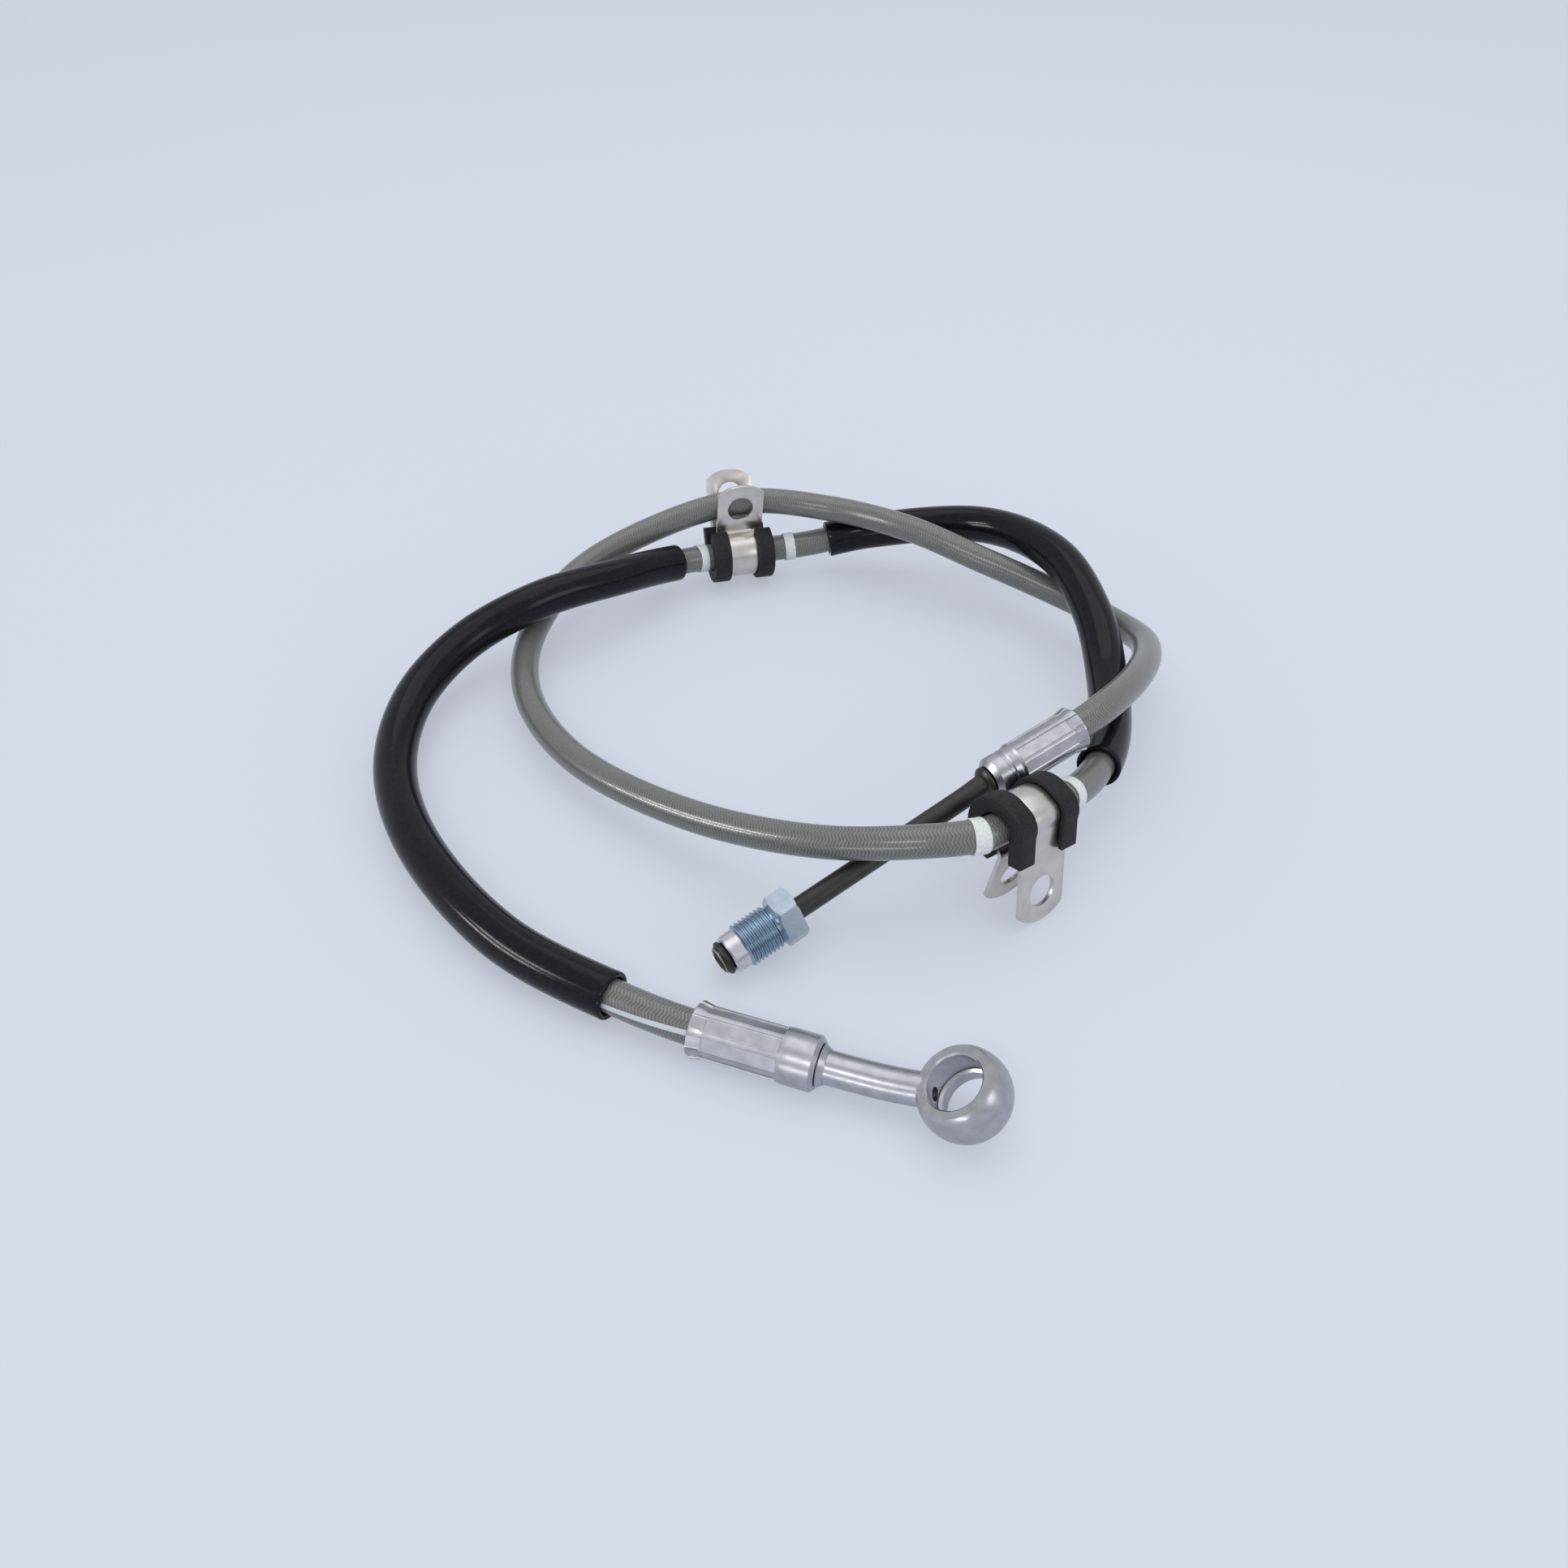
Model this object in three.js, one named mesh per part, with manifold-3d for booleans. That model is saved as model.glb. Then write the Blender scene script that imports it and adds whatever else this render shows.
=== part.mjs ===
// Braided brake hose with a banjo eye, two cushioned clamps and a pipe end with its tube nut.
// Millimetres, +Z up. The hose lies in one and a half loose turns on a table at Z = 0.
import * as THREE from 'three';
import { mergeVertices } from 'three/addons/utils/BufferGeometryUtils.js';
import Module from 'manifold-3d';

const wasm = await Module();
wasm.setup();

// Hose: a plastic cover over a steel braid over a fluid liner
const hose = {
  coverRadius: 3.7, coverWall: 0.4, braidWall: 0.3, linerBore: 1.6, sides: 10, innerSides: 8,
};
const layerGap = 0.3;
const cordStep = 18.8;
const heldLength = 17;

// Points that the free hose follows, from the banjo end's ferrule to the pipe end's ferrule
const route = [
  [-39.8, -83.5, 5.8], [-55.3, -76, 5.7], [-82.3, -58.5, 5.5], [-107.3, -27, 5.5], [-117.8, 1, 6.1],
  [-116.8, 24.5, 9], [-106.3, 42.5, 13.4], [-88.8, 55.5, 17.4], [-69.3, 70.5, 15.6], [-52.3, 87, 10.8],
  [-34.8, 95, 9.2], [-15.3, 99.7, 9.6], [3.7, 101.8, 12.8], [35.7, 93, 19.6], [52.7, 71, 22.8],
  [59.2, 46, 20], [59.7, 23, 15.2], [55.2, -3, 15], [47.1, -20.9, 17.6], [36.7, -32.9, 20.9],
  [21, -45, 22.9], [7.7, -47.5, 22.9], [-15.3, -42.4, 18.2], [-45.3, -25.5, 11.6], [-74.3, 0.5, 7.4],
  [-89.3, 28, 6.5], [-91.5, 55, 7.4], [-81.3, 79.6, 12], [-60.8, 92.8, 18.3], [-34.8, 101.3, 22.7],
  [-9.3, 100.6, 20.9], [13.7, 88, 21.2], [33.7, 77.4, 17.2], [49.5, 70.8, 13], [61.5, 62.5, 11],
  [69.4, 50, 12.4], [71.8, 38.5, 15.6], [69.6, 25.6, 19.6], [62.7, 9.5, 24.2], [52.2, -6, 27.4],
  [43.7, -14, 27],
].map((p) => new THREE.Vector3(...p));

// Places along the hose, measured from the mouth of the banjo end's ferrule
const sleeve = {
  outerRadius: 5.2, wall: 0.9, spans: { left_sleeve: [19, 235], right_sleeve: [282, 447] },
};
const clampPlaces = { rear_clamp: 255, front_clamp: 480 };
const clampRoom = 20;
const band = { wall: 0.4, width: 3, places: [243, 270.2, 464.6, 493.2] };

// Cushioned clamp: a steel strap bent round the hose into two ears, in a channel of rubber
const strap = {
  thickness: 1, width: 13.6, loopRadius: 6, foldDrop: 4.5, foldRadius: 2.9, neckRadius: 1.5,
  rootHeight: 9, earReach: 21.8, earHoleHeight: 14.3, earHoleRadius: 3.75, earEndRadius: 10,
  splayHeight: -1.5, splayRadius: 6,
};
const spread = {
  rear_clamp: { leg: 26, ear: 7, turn: -2.5 },
  front_clamp: { leg: 11, ear: 8, turn: 0 },
};
const cushion = {
  boreRadius: 4.2, outerRadius: 7.8, width: 17.8, lipGap: 8.2, legHeight: 5.4, clearance: 0.3,
};

// Crimped ferrules. Lengths run from the mouth that the hose enters.
const ferrules = {
  banjo_ferrule: {
    axis: [0.939, -0.342, 0], lipRadius: 5.8, lipLength: 2.2,
    crimpRadius: 5.2, flatDistance: 4.85, flats: 8,
    crimpEnd: 18.8, collarRadius: 5.6, groove: 0, length: 26, endChamfer: 0.8, neckHole: 3.8,
  },
  pipe_ferrule: {
    axis: [-20.6, -12.8, -4.7], lipRadius: 5.4, lipLength: 2.2,
    crimpRadius: 4.9, flatDistance: 4.6, flats: 8,
    crimpEnd: 17.6, collarRadius: 4.75, groove: 0.4, length: 24.7, endChamfer: 1.1, neckHole: 2.9,
  },
};
const ferruleBore = 4.05;
const cavityDepth = 19.5;
const nipple = { radius: 1.2, bore: 0.75, barb: 0.12, start: 2, barbs: 4 };
const pressGap = 0.35;

// Banjo eye: a ball cut by two flat faces, on a neck that rises to it
const eye = {
  centre: [11.3, -101.1, 8.25], axis: [-0.498, -0.084, 0.863], ballRadius: 9.15, thickness: 10.06,
  boreRadius: 5.65, chamfer: 0.35, recessDepth: 0.65, recessWidth: 4.4,
};
const neck = { radius: 3.4, flangeRadius: 4.4, flangeLength: 1, passage: 1.3 };
const neckRoute = [[-8.3, -94.7, 5.6], [-0.8, -97.1, 5.6], [5.7, -99.2, 6.7]];

// Rigid pipe, its flared end and the nut that turns on it
const pipe = {
  radius: 2.375, bore: 1.5, beadRadius: 3.5, beadLength: 1.2,
  flareRadius: 3.8, flareLength: 2.1, flareSlope: 1.1, flareLand: 0.5,
};
const pipeEnd = [-36, -64.9, 4.8];
const pipeBend = [18.1, -30.2, 20.6];
const nut = {
  noseRadius: 4.3, noseLength: 3.2, threadRadius: 4.95, threadLength: 9,
  undercutRadius: 4.3, undercutLength: 0.9,
  hexAcross: 11, hexLength: 5.2, hexChamfer: 0.55, bore: 2.75, clearance: 0.3,
};

const finishes = {
  zinc: { color: 0x9a9ba6, roughness: 0.35, metalness: 0.9 },
  nutZinc: { color: 0x8fa5b5, roughness: 0.32, metalness: 0.9 },
  cover: { color: 0x7c7f78, roughness: 0.35, metalness: 0 },
  braid: { color: 0x9c9d98, roughness: 0.4, metalness: 0.9 },
  liner: { color: 0xe9e9e2, roughness: 0.4, metalness: 0 },
  sleeve: { color: 0x25262b, roughness: 0.4, metalness: 0 },
  steel: { color: 0xb5b2ac, roughness: 0.3, metalness: 0.95 },
  rubber: { color: 0x2a282c, roughness: 0.7, metalness: 0 },
  white: { color: 0xe5e8e8, roughness: 0.55, metalness: 0 },
  pipe: { color: 0x3f413c, roughness: 0.4, metalness: 0.5 },
};

const object = new THREE.Group();

function addPiece(name, geometry, finish) {
  const mesh = new THREE.Mesh(geometry, new THREE.MeshStandardMaterial(finishes[finish]));
  mesh.name = name;
  object.add(mesh);
  return mesh;
}

// Solids for cutting and joining

function solidOf(geometry) {
  const bare = geometry.clone();
  bare.deleteAttribute('normal');
  bare.deleteAttribute('uv');
  const merged = mergeVertices(bare, 1e-4);
  const solid = new wasm.Manifold(new wasm.Mesh({
    numProp: 3,
    vertProperties: new Float32Array(merged.attributes.position.array),
    triVerts: new Uint32Array(merged.index.array),
  }));
  return solid;
}

function geometryOf(solid) {
  const mesh = solid.getMesh();
  const geometry = new THREE.BufferGeometry();
  geometry.setAttribute('position', new THREE.BufferAttribute(mesh.vertProperties, 3));
  geometry.setIndex(new THREE.BufferAttribute(mesh.triVerts, 1));
  geometry.computeVertexNormals();
  return geometry;
}

// A frame whose X axis follows a direction, with Z as near to upward as it can be
function frameAlong(origin, direction, up = new THREE.Vector3(0, 0, 1)) {
  const x = direction.clone().normalize();
  const y = up.clone().cross(x).normalize();
  const z = x.clone().cross(y);
  return new THREE.Matrix4().makeBasis(x, y, z).setPosition(origin);
}

// Turns a closed profile of [distance along X, radius] points round the X axis
function turned(profile, segments) {
  const points = profile.map(([along, radius]) => new THREE.Vector2(radius, along));
  return new THREE.LatheGeometry(points, segments).rotateZ(-Math.PI / 2);
}

function ringProfile(from, to, inner, outer) {
  return [[from, inner], [from, outer], [to, outer], [to, inner], [from, inner]];
}

function rodProfile(from, to, radius) {
  return [[from, 0], [from, radius], [to, radius], [to, 0]];
}

function circle(radius) {
  return new THREE.Shape().absarc(0, 0, radius, 0, 2 * Math.PI);
}

// A tube, or a rod where the bore is 0, swept along a curve
function swept(curve, steps, radius, bore, sides) {
  const shape = circle(radius);
  if (bore > 0) shape.holes.push(new THREE.Path().absarc(0, 0, bore, 0, 2 * Math.PI, true));
  const curveSegments = sides / 2;
  return new THREE.ExtrudeGeometry(shape, {
    steps, extrudePath: curve, curveSegments, bevelEnabled: false,
  });
}

// Hose route with its two ends held straight inside the ferrules

const banjoAxis = new THREE.Vector3(...ferrules.banjo_ferrule.axis).normalize();
const pipeAxis = new THREE.Vector3(...ferrules.pipe_ferrule.axis).normalize();
const banjoMouth = route[0];
const pipeMouth = route[route.length - 1];
const wholeRoute = new THREE.CatmullRomCurve3([
  banjoMouth.clone().addScaledVector(banjoAxis, heldLength),
  ...route,
  pipeMouth.clone().addScaledVector(pipeAxis, heldLength),
], false, 'centripetal');
wholeRoute.arcLengthDivisions = 2000;
const wholeLength = wholeRoute.getLength();
const freeLength = wholeLength - 2 * heldLength;

function placeOnRoute(place) {
  return wholeRoute.getPointAt((place + heldLength) / wholeLength);
}

// Stations of the hose's facets: one at each end of a sleeve and of a clamp, and even steps between
const marks = [
  -heldLength, 0, ...Object.values(sleeve.spans).flat(),
  ...Object.values(clampPlaces).flatMap((place) => [place - clampRoom / 2, place + clampRoom / 2]),
  freeLength, freeLength + heldLength,
].sort((a, b) => a - b);
const stations = [marks[0]];
for (let i = 1; i < marks.length; i += 1) {
  const steps = Math.max(1, Math.round((marks[i] - marks[i - 1]) / cordStep));
  for (let k = 1; k <= steps; k += 1) {
    stations.push(marks[i - 1] + ((marks[i] - marks[i - 1]) * k) / steps);
  }
}

// The stretch of the route between two stations, which steps from station to station
class RouteStretch extends THREE.Curve {
  constructor(from, to) {
    super();
    this.places = stations.filter((place) => place > from - 0.01 && place < to + 0.01);
    this.steps = this.places.length - 1;
  }

  getPoint(t) {
    const scaled = THREE.MathUtils.clamp(t, 0, 1) * this.steps;
    const index = Math.min(Math.floor(scaled), this.steps - 1);
    const place = THREE.MathUtils.lerp(this.places[index], this.places[index + 1], scaled - index);
    return placeOnRoute(place);
  }

  getUtoTmapping(u) {
    return u;
  }
}

// The frame at a place on the faceted hose, where a clamp or a band is threaded on
function frameOnHose(place) {
  const next = stations.findIndex((station) => station > place);
  const start = placeOnRoute(stations[next - 1]);
  const end = placeOnRoute(stations[next]);
  const share = (place - stations[next - 1]) / (stations[next] - stations[next - 1]);
  return frameAlong(start.clone().lerp(end, share), end.clone().sub(start));
}

// Hose layers and sleeves

function addHose() {
  const whole = new RouteStretch(-heldLength, freeLength + heldLength);
  const braidRadius = hose.coverRadius - hose.coverWall - 1.5 * layerGap;
  const linerRadius = braidRadius - hose.braidWall - layerGap;
  const coverBore = hose.coverRadius - hose.coverWall;
  addPiece('hose_cover', swept(whole, whole.steps, hose.coverRadius, coverBore, hose.sides), 'cover');
  const braidBore = braidRadius - hose.braidWall;
  addPiece('steel_braid', swept(whole, whole.steps, braidRadius, braidBore, hose.innerSides), 'braid');
  const liner = swept(whole, whole.steps, linerRadius, hose.linerBore, hose.innerSides);
  addPiece('ptfe_liner', liner, 'liner');
}

function addSleeves() {
  for (const [name, [from, to]] of Object.entries(sleeve.spans)) {
    const stretch = new RouteStretch(from, to);
    const bore = sleeve.outerRadius - sleeve.wall;
    addPiece(name, swept(stretch, stretch.steps, sleeve.outerRadius, bore, hose.sides), 'sleeve');
  }
}

function addBands() {
  band.places.forEach((place, index) => {
    const bore = hose.coverRadius + layerGap + 0.1;
    const ring = turned(ringProfile(-band.width / 2, band.width / 2, bore, bore + band.wall), 20);
    addPiece(`marker_band_${index + 1}`, ring, 'white').applyMatrix4(frameOnHose(place));
  });
}

// Clamps

// Follows straight runs and bends in the clamp's side view and keeps the outward normal at each point.
// A move is [length] or [radius, angle], and a positive angle turns left.
// The outside lies on the given side.
function trace(start, heading, moves, outside) {
  let [y, z] = start;
  let angle = THREE.MathUtils.degToRad(heading);
  const samples = [];
  const keep = () => samples.push({ y, z, normal: angle + (outside * Math.PI) / 2 });
  keep();
  for (const [size, turn] of moves) {
    if (turn === undefined) {
      y += size * Math.cos(angle);
      z += size * Math.sin(angle);
      keep();
      continue;
    }
    const steps = Math.max(2, Math.ceil(Math.abs(turn) / 18));
    const part = THREE.MathUtils.degToRad(turn) / steps;
    for (let i = 0; i < steps; i += 1) {
      const chord = 2 * size * Math.sin(Math.abs(part) / 2);
      y += chord * Math.cos(angle + part / 2);
      z += chord * Math.sin(angle + part / 2);
      angle += part;
      keep();
    }
  }
  return samples;
}

// The clamp's middle line: from the leg's top down round the loop, and then the moves that end it
function strapLine(lean, legHeight, endMoves) {
  const corner = Math.atan(strap.foldDrop / strap.loopRadius);
  const trim = strap.foldRadius * Math.tan(corner);
  const fold = THREE.MathUtils.radToDeg(2 * corner);
  const start = [strap.loopRadius, strap.splayHeight];
  const splayMoves = lean > 0 ? [[strap.splayRadius, -lean]] : [];
  const splayLength = strap.splayRadius * THREE.MathUtils.degToRad(lean);
  const legMoves = [...splayMoves, [legHeight - strap.splayHeight - splayLength]];
  const leg = trace(start, 90, legMoves, -1).reverse();
  const loopMoves = [
    [strap.splayHeight + strap.foldDrop - trim], [strap.foldRadius, -fold], [strap.foldDrop - trim],
    [strap.loopRadius, fold - 270], ...endMoves,
  ];
  const loop = trace(start, -90, loopMoves, 1);
  return [...leg, ...loop.slice(1)];
}

// A strip of the given width that lies between two offsets from a middle line
function strip(line, inner, outer, width) {
  const at = (sample, offset) => new THREE.Vector2(
    sample.y + offset * Math.cos(sample.normal),
    sample.z + offset * Math.sin(sample.normal),
  );
  const outline = [...line.map((s) => at(s, outer)), ...line.map((s) => at(s, inner)).reverse()];
  const settings = { depth: width, bevelEnabled: false };
  const geometry = new THREE.ExtrudeGeometry(new THREE.Shape(outline), settings);
  const axes = new THREE.Matrix4().makeBasis(
    new THREE.Vector3(0, 1, 0), new THREE.Vector3(0, 0, 1), new THREE.Vector3(1, 0, 0),
  );
  return solidOf(geometry.applyMatrix4(axes).translate(-width / 2, 0, 0));
}

// A flat ear with a round end and a bolt hole, standing on the strap's end
function ear(sample, length, holeHeight, outwardTurn) {
  const half = strap.width / 2;
  const shoulder = strap.earEndRadius - Math.sqrt(strap.earEndRadius ** 2 - half ** 2);
  const angle = Math.asin(half / strap.earEndRadius);
  const shape = new THREE.Shape().moveTo(-half, -0.5).lineTo(half, -0.5);
  shape.lineTo(half, length - shoulder);
  const centre = length - strap.earEndRadius;
  shape.absarc(0, centre, strap.earEndRadius, Math.PI / 2 - angle, Math.PI / 2 + angle, false);
  shape.closePath();
  shape.holes.push(new THREE.Path().absarc(0, holeHeight, strap.earHoleRadius, 0, 2 * Math.PI, true));
  const settings = { depth: strap.thickness, curveSegments: 8, bevelEnabled: false };
  const plate = new THREE.ExtrudeGeometry(shape, settings);
  plate.translate(0, 0, -strap.thickness / 2);
  const upward = sample.normal + outwardTurn;
  const z = new THREE.Vector3(0, Math.cos(upward), Math.sin(upward));
  const x = new THREE.Vector3(1, 0, 0);
  const axes = new THREE.Matrix4().makeBasis(x, z, x.clone().cross(z));
  axes.setPosition(0, sample.y, sample.z);
  return solidOf(plate.applyMatrix4(axes));
}

function addClamp(name, place) {
  const lean = spread[name].leg;
  const neckLength = strap.rootHeight - strap.loopRadius - strap.neckRadius;
  const neckMoves = [[strap.neckRadius, 90 + spread[name].ear], [neckLength]];
  const line = strapLine(lean, strap.rootHeight, neckMoves);
  const earLength = strap.earReach - strap.rootHeight;
  const holeHeight = strap.earHoleHeight - strap.rootHeight;
  const half = strap.thickness / 2;
  const steel = strip(line, -half, half, strap.width)
    .add(ear(line[0], earLength, holeHeight, Math.PI / 2))
    .add(ear(line[line.length - 1], earLength, holeHeight, -Math.PI / 2));
  const loop = strapLine(lean, cushion.legHeight, []);
  const channel = strapLine(lean, strap.rootHeight, [[cushion.clearance]]);
  const proud = cushion.outerRadius - strap.loopRadius;
  const slot = half + cushion.clearance;
  const rubber = strip(loop, cushion.boreRadius - strap.loopRadius, proud, cushion.width)
    .subtract(strip(line, -slot, slot, strap.width + 2 * cushion.clearance))
    .subtract(strip(channel, 0, proud + 1, cushion.lipGap));
  const frame = frameOnHose(place);
  frame.multiply(new THREE.Matrix4().makeRotationZ(THREE.MathUtils.degToRad(spread[name].turn)));
  if (name === 'front_clamp') frame.multiply(new THREE.Matrix4().makeRotationY(Math.PI));
  addPiece(`${name}_strap`, geometryOf(steel), 'steel').applyMatrix4(frame);
  addPiece(`${name}_cushion`, geometryOf(rubber), 'rubber').applyMatrix4(frame);
}

// Ferrules, in a frame whose X axis runs from the mouth towards the metal end

function ferruleFrame(name, mouth) {
  return frameAlong(mouth, new THREE.Vector3(...ferrules[name].axis));
}

function addFerrule(name, mouth) {
  const f = ferrules[name];
  const grooveAt = f.crimpEnd + 2;
  const profile = [
    [0, ferruleBore], [0, f.lipRadius], [f.lipLength, f.crimpRadius], [f.crimpEnd, f.crimpRadius],
    [f.crimpEnd + 0.6, f.collarRadius], [grooveAt, f.collarRadius],
    [grooveAt + 0.3, f.collarRadius - f.groove],
    [grooveAt + 1, f.collarRadius - f.groove], [grooveAt + 1.3, f.collarRadius],
    [f.length - f.endChamfer, f.collarRadius], [f.length, f.collarRadius - f.endChamfer],
    [f.length, f.neckHole], [cavityDepth, f.neckHole], [cavityDepth, ferruleBore], [0, ferruleBore],
  ];
  let shell = solidOf(turned(profile, 24));
  const flatLength = f.crimpEnd - f.lipLength - 1;
  for (let i = 0; i < f.flats; i += 1) {
    const cutter = new THREE.BoxGeometry(flatLength, 6, 2);
    cutter.translate(f.lipLength + 0.6 + flatLength / 2, 0, f.flatDistance + 1);
    cutter.rotateX(((i + 0.5) * 2 * Math.PI) / f.flats);
    shell = shell.subtract(solidOf(cutter));
  }
  addPiece(name, geometryOf(shell), 'zinc').applyMatrix4(ferruleFrame(name, mouth));
}

// The barbed nipple that the liner is gripped on, and the shoulder behind it, as a profile from its tip
function nippleProfile(shoulderRadius, shoulderEnd) {
  const pitch = (heldLength - nipple.start - 1) / nipple.barbs;
  const points = [[nipple.start, 0], [nipple.start, nipple.radius - nipple.barb]];
  for (let i = 0; i < nipple.barbs; i += 1) {
    const x = nipple.start + i * pitch;
    points.push([x + 0.7 * pitch, nipple.radius], [x + pitch, nipple.radius - nipple.barb]);
  }
  const shoulderStart = heldLength + pressGap;
  points.push([shoulderStart, nipple.radius], [shoulderStart, shoulderRadius]);
  points.push([shoulderEnd, shoulderRadius], [shoulderEnd, 0]);
  return points;
}

// Banjo fitting

function addBanjoFitting() {
  const f = ferrules.banjo_ferrule;
  const frame = ferruleFrame('banjo_ferrule', banjoMouth);
  const centre = new THREE.Vector3(...eye.centre);
  const collarEnd = new THREE.Vector3(f.length, 0, 0).applyMatrix4(frame);
  const before = new THREE.Vector3(f.length - 2, 0, 0).applyMatrix4(frame);
  const points = neckRoute.map((p) => new THREE.Vector3(...p));
  const neckCurve = new THREE.CatmullRomCurve3([before, collarEnd, ...points], false, 'centripetal');
  const drillPoints = [before, collarEnd, ...points, centre];
  const toCentre = new THREE.CatmullRomCurve3(drillPoints, false, 'centripetal');

  const half = eye.thickness / 2;
  const faceAngle = Math.asin(half / eye.ballRadius);
  const arcSteps = 6;
  const profile = [];
  for (let i = 0; i <= arcSteps; i += 1) {
    const angle = -faceAngle + (2 * faceAngle * i) / arcSteps;
    profile.push([eye.ballRadius * Math.sin(angle), eye.ballRadius * Math.cos(angle)]);
  }
  const recess = eye.recessWidth / 2;
  const rim = eye.boreRadius + eye.chamfer;
  profile.push(
    [half, rim], [half - eye.chamfer, eye.boreRadius], [recess, eye.boreRadius],
    [recess, eye.boreRadius + eye.recessDepth], [-recess, eye.boreRadius + eye.recessDepth],
    [-recess, eye.boreRadius], [-half + eye.chamfer, eye.boreRadius], [-half, rim],
  );
  profile.push(profile[0]);
  const eyeFrame = frameAlong(centre, new THREE.Vector3(...eye.axis), banjoAxis);
  const ring = solidOf(turned(profile, 30).applyMatrix4(eyeFrame));
  const hole = solidOf(turned(rodProfile(-half, half, rim), 24).applyMatrix4(eyeFrame));

  const stem = solidOf(turned(nippleProfile(neck.radius, f.length + 0.4), 12).applyMatrix4(frame));
  const flangeStart = f.length + layerGap;
  const flangeProfile = rodProfile(flangeStart, flangeStart + neck.flangeLength, neck.flangeRadius);
  const flange = solidOf(turned(flangeProfile, 20).applyMatrix4(frame));
  const arm = solidOf(swept(neckCurve, 7, neck.radius, 0, 12)).subtract(hole);
  const drilled = solidOf(swept(toCentre, 8, neck.passage, 0, 6));
  const inlet = rodProfile(0, f.length + 1, nipple.bore);
  const fitting = ring.add(arm).add(stem).add(flange)
    .subtract(drilled)
    .subtract(solidOf(turned(inlet, 6).applyMatrix4(frame)));
  addPiece('banjo_fitting', geometryOf(fitting), 'zinc');
}

// Pipe end

function addPipeEnd() {
  const f = ferrules.pipe_ferrule;
  const frame = ferruleFrame('pipe_ferrule', pipeMouth);
  const insertEnd = f.length - 1.6;
  const shoulder = f.neckHole - pressGap;
  const bored = rodProfile(0, f.length, nipple.bore);
  const barbed = solidOf(turned(nippleProfile(shoulder, insertEnd), 12));
  const insert = barbed.subtract(solidOf(turned(bored, 6)));
  addPiece('pipe_insert', geometryOf(insert), 'zinc').applyMatrix4(frame);

  const start = new THREE.Vector3(insertEnd + layerGap, 0, 0).applyMatrix4(frame);
  const outside = new THREE.Vector3(f.length + pipe.beadLength, 0, 0).applyMatrix4(frame);
  const bend = new THREE.Vector3(...pipeBend);
  const end = new THREE.Vector3(...pipeEnd);
  const along = bend.clone().sub(end).normalize();
  const pipeCurve = new THREE.CatmullRomCurve3([
    start, outside, bend, bend.clone().addScaledVector(along, -12),
    end.clone().addScaledVector(along, 22), end,
  ], false, 'centripetal');
  const tube = solidOf(swept(pipeCurve, 14, pipe.radius, 0, 12));
  const beadStart = f.length + layerGap;
  const bead = solidOf(turned([
    [beadStart, 0], [beadStart, pipe.beadRadius], [beadStart + pipe.beadLength, pipe.beadRadius - 0.4],
    [beadStart + pipe.beadLength, 0],
  ], 20).applyMatrix4(frame));
  const endFrame = frameAlong(end, along);
  const flare = solidOf(turned([
    [0, 0], [0, pipe.bore + pipe.flareLand], [pipe.flareSlope, pipe.flareRadius],
    [pipe.flareLength, pipe.flareRadius], [pipe.flareLength, 0],
  ], 24).applyMatrix4(endFrame));
  const boreCurve = new THREE.CatmullRomCurve3([
    start.clone().addScaledVector(pipeAxis, -1), start, outside, bend,
    bend.clone().addScaledVector(along, -12),
    end.clone().addScaledVector(along, 22), end.clone().addScaledVector(along, -1),
  ], false, 'centripetal');
  const bore = solidOf(swept(boreCurve, 15, pipe.bore, 0, 8));
  addPiece('brake_pipe', geometryOf(tube.add(bead).add(flare).subtract(bore)), 'pipe');

  addTubeNut(frameAlong(end, along));
}

function addTubeNut(frame) {
  const start = pipe.flareLength + nut.clearance;
  const threadStart = start + nut.noseLength;
  const threadEnd = threadStart + nut.threadLength;
  const hexStart = threadEnd;
  const end = hexStart + nut.hexLength;
  const corner = nut.hexAcross / Math.sqrt(3);
  const body = turned([
    [start, nut.bore], [start, nut.noseRadius - 0.35], [start + 0.35, nut.noseRadius],
    [threadStart, nut.noseRadius], [threadStart + 0.8, nut.threadRadius],
    [threadEnd - nut.undercutLength - 0.6, nut.threadRadius],
    [threadEnd - nut.undercutLength, nut.undercutRadius],
    [hexStart + 0.5, nut.undercutRadius], [hexStart + 0.5, nut.bore], [start, nut.bore],
  ], 28);
  const prism = new THREE.CylinderGeometry(corner, corner, nut.hexLength, 6).rotateZ(-Math.PI / 2);
  prism.rotateX(THREE.MathUtils.degToRad(11)).translate(hexStart + nut.hexLength / 2, 0, 0);
  const round = turned([
    [hexStart, 0], [hexStart, nut.hexAcross / 2], [hexStart + nut.hexChamfer, corner],
    [end - nut.hexChamfer, corner], [end, nut.hexAcross / 2], [end, 0],
  ], 30);
  const hole = turned(rodProfile(start - 1, end + 1, nut.bore), 24);
  const hex = solidOf(prism).intersect(solidOf(round)).subtract(solidOf(hole));
  addPiece('tube_nut', geometryOf(solidOf(body).add(hex)), 'nutZinc').applyMatrix4(frame);
}

addHose();
addSleeves();
addBands();
for (const [name, place] of Object.entries(clampPlaces)) addClamp(name, place);
addFerrule('banjo_ferrule', banjoMouth);
addFerrule('pipe_ferrule', pipeMouth);
addBanjoFitting();
addPipeEnd();

export default object;
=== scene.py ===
import math

import bpy
from mathutils import Matrix, Vector


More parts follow.
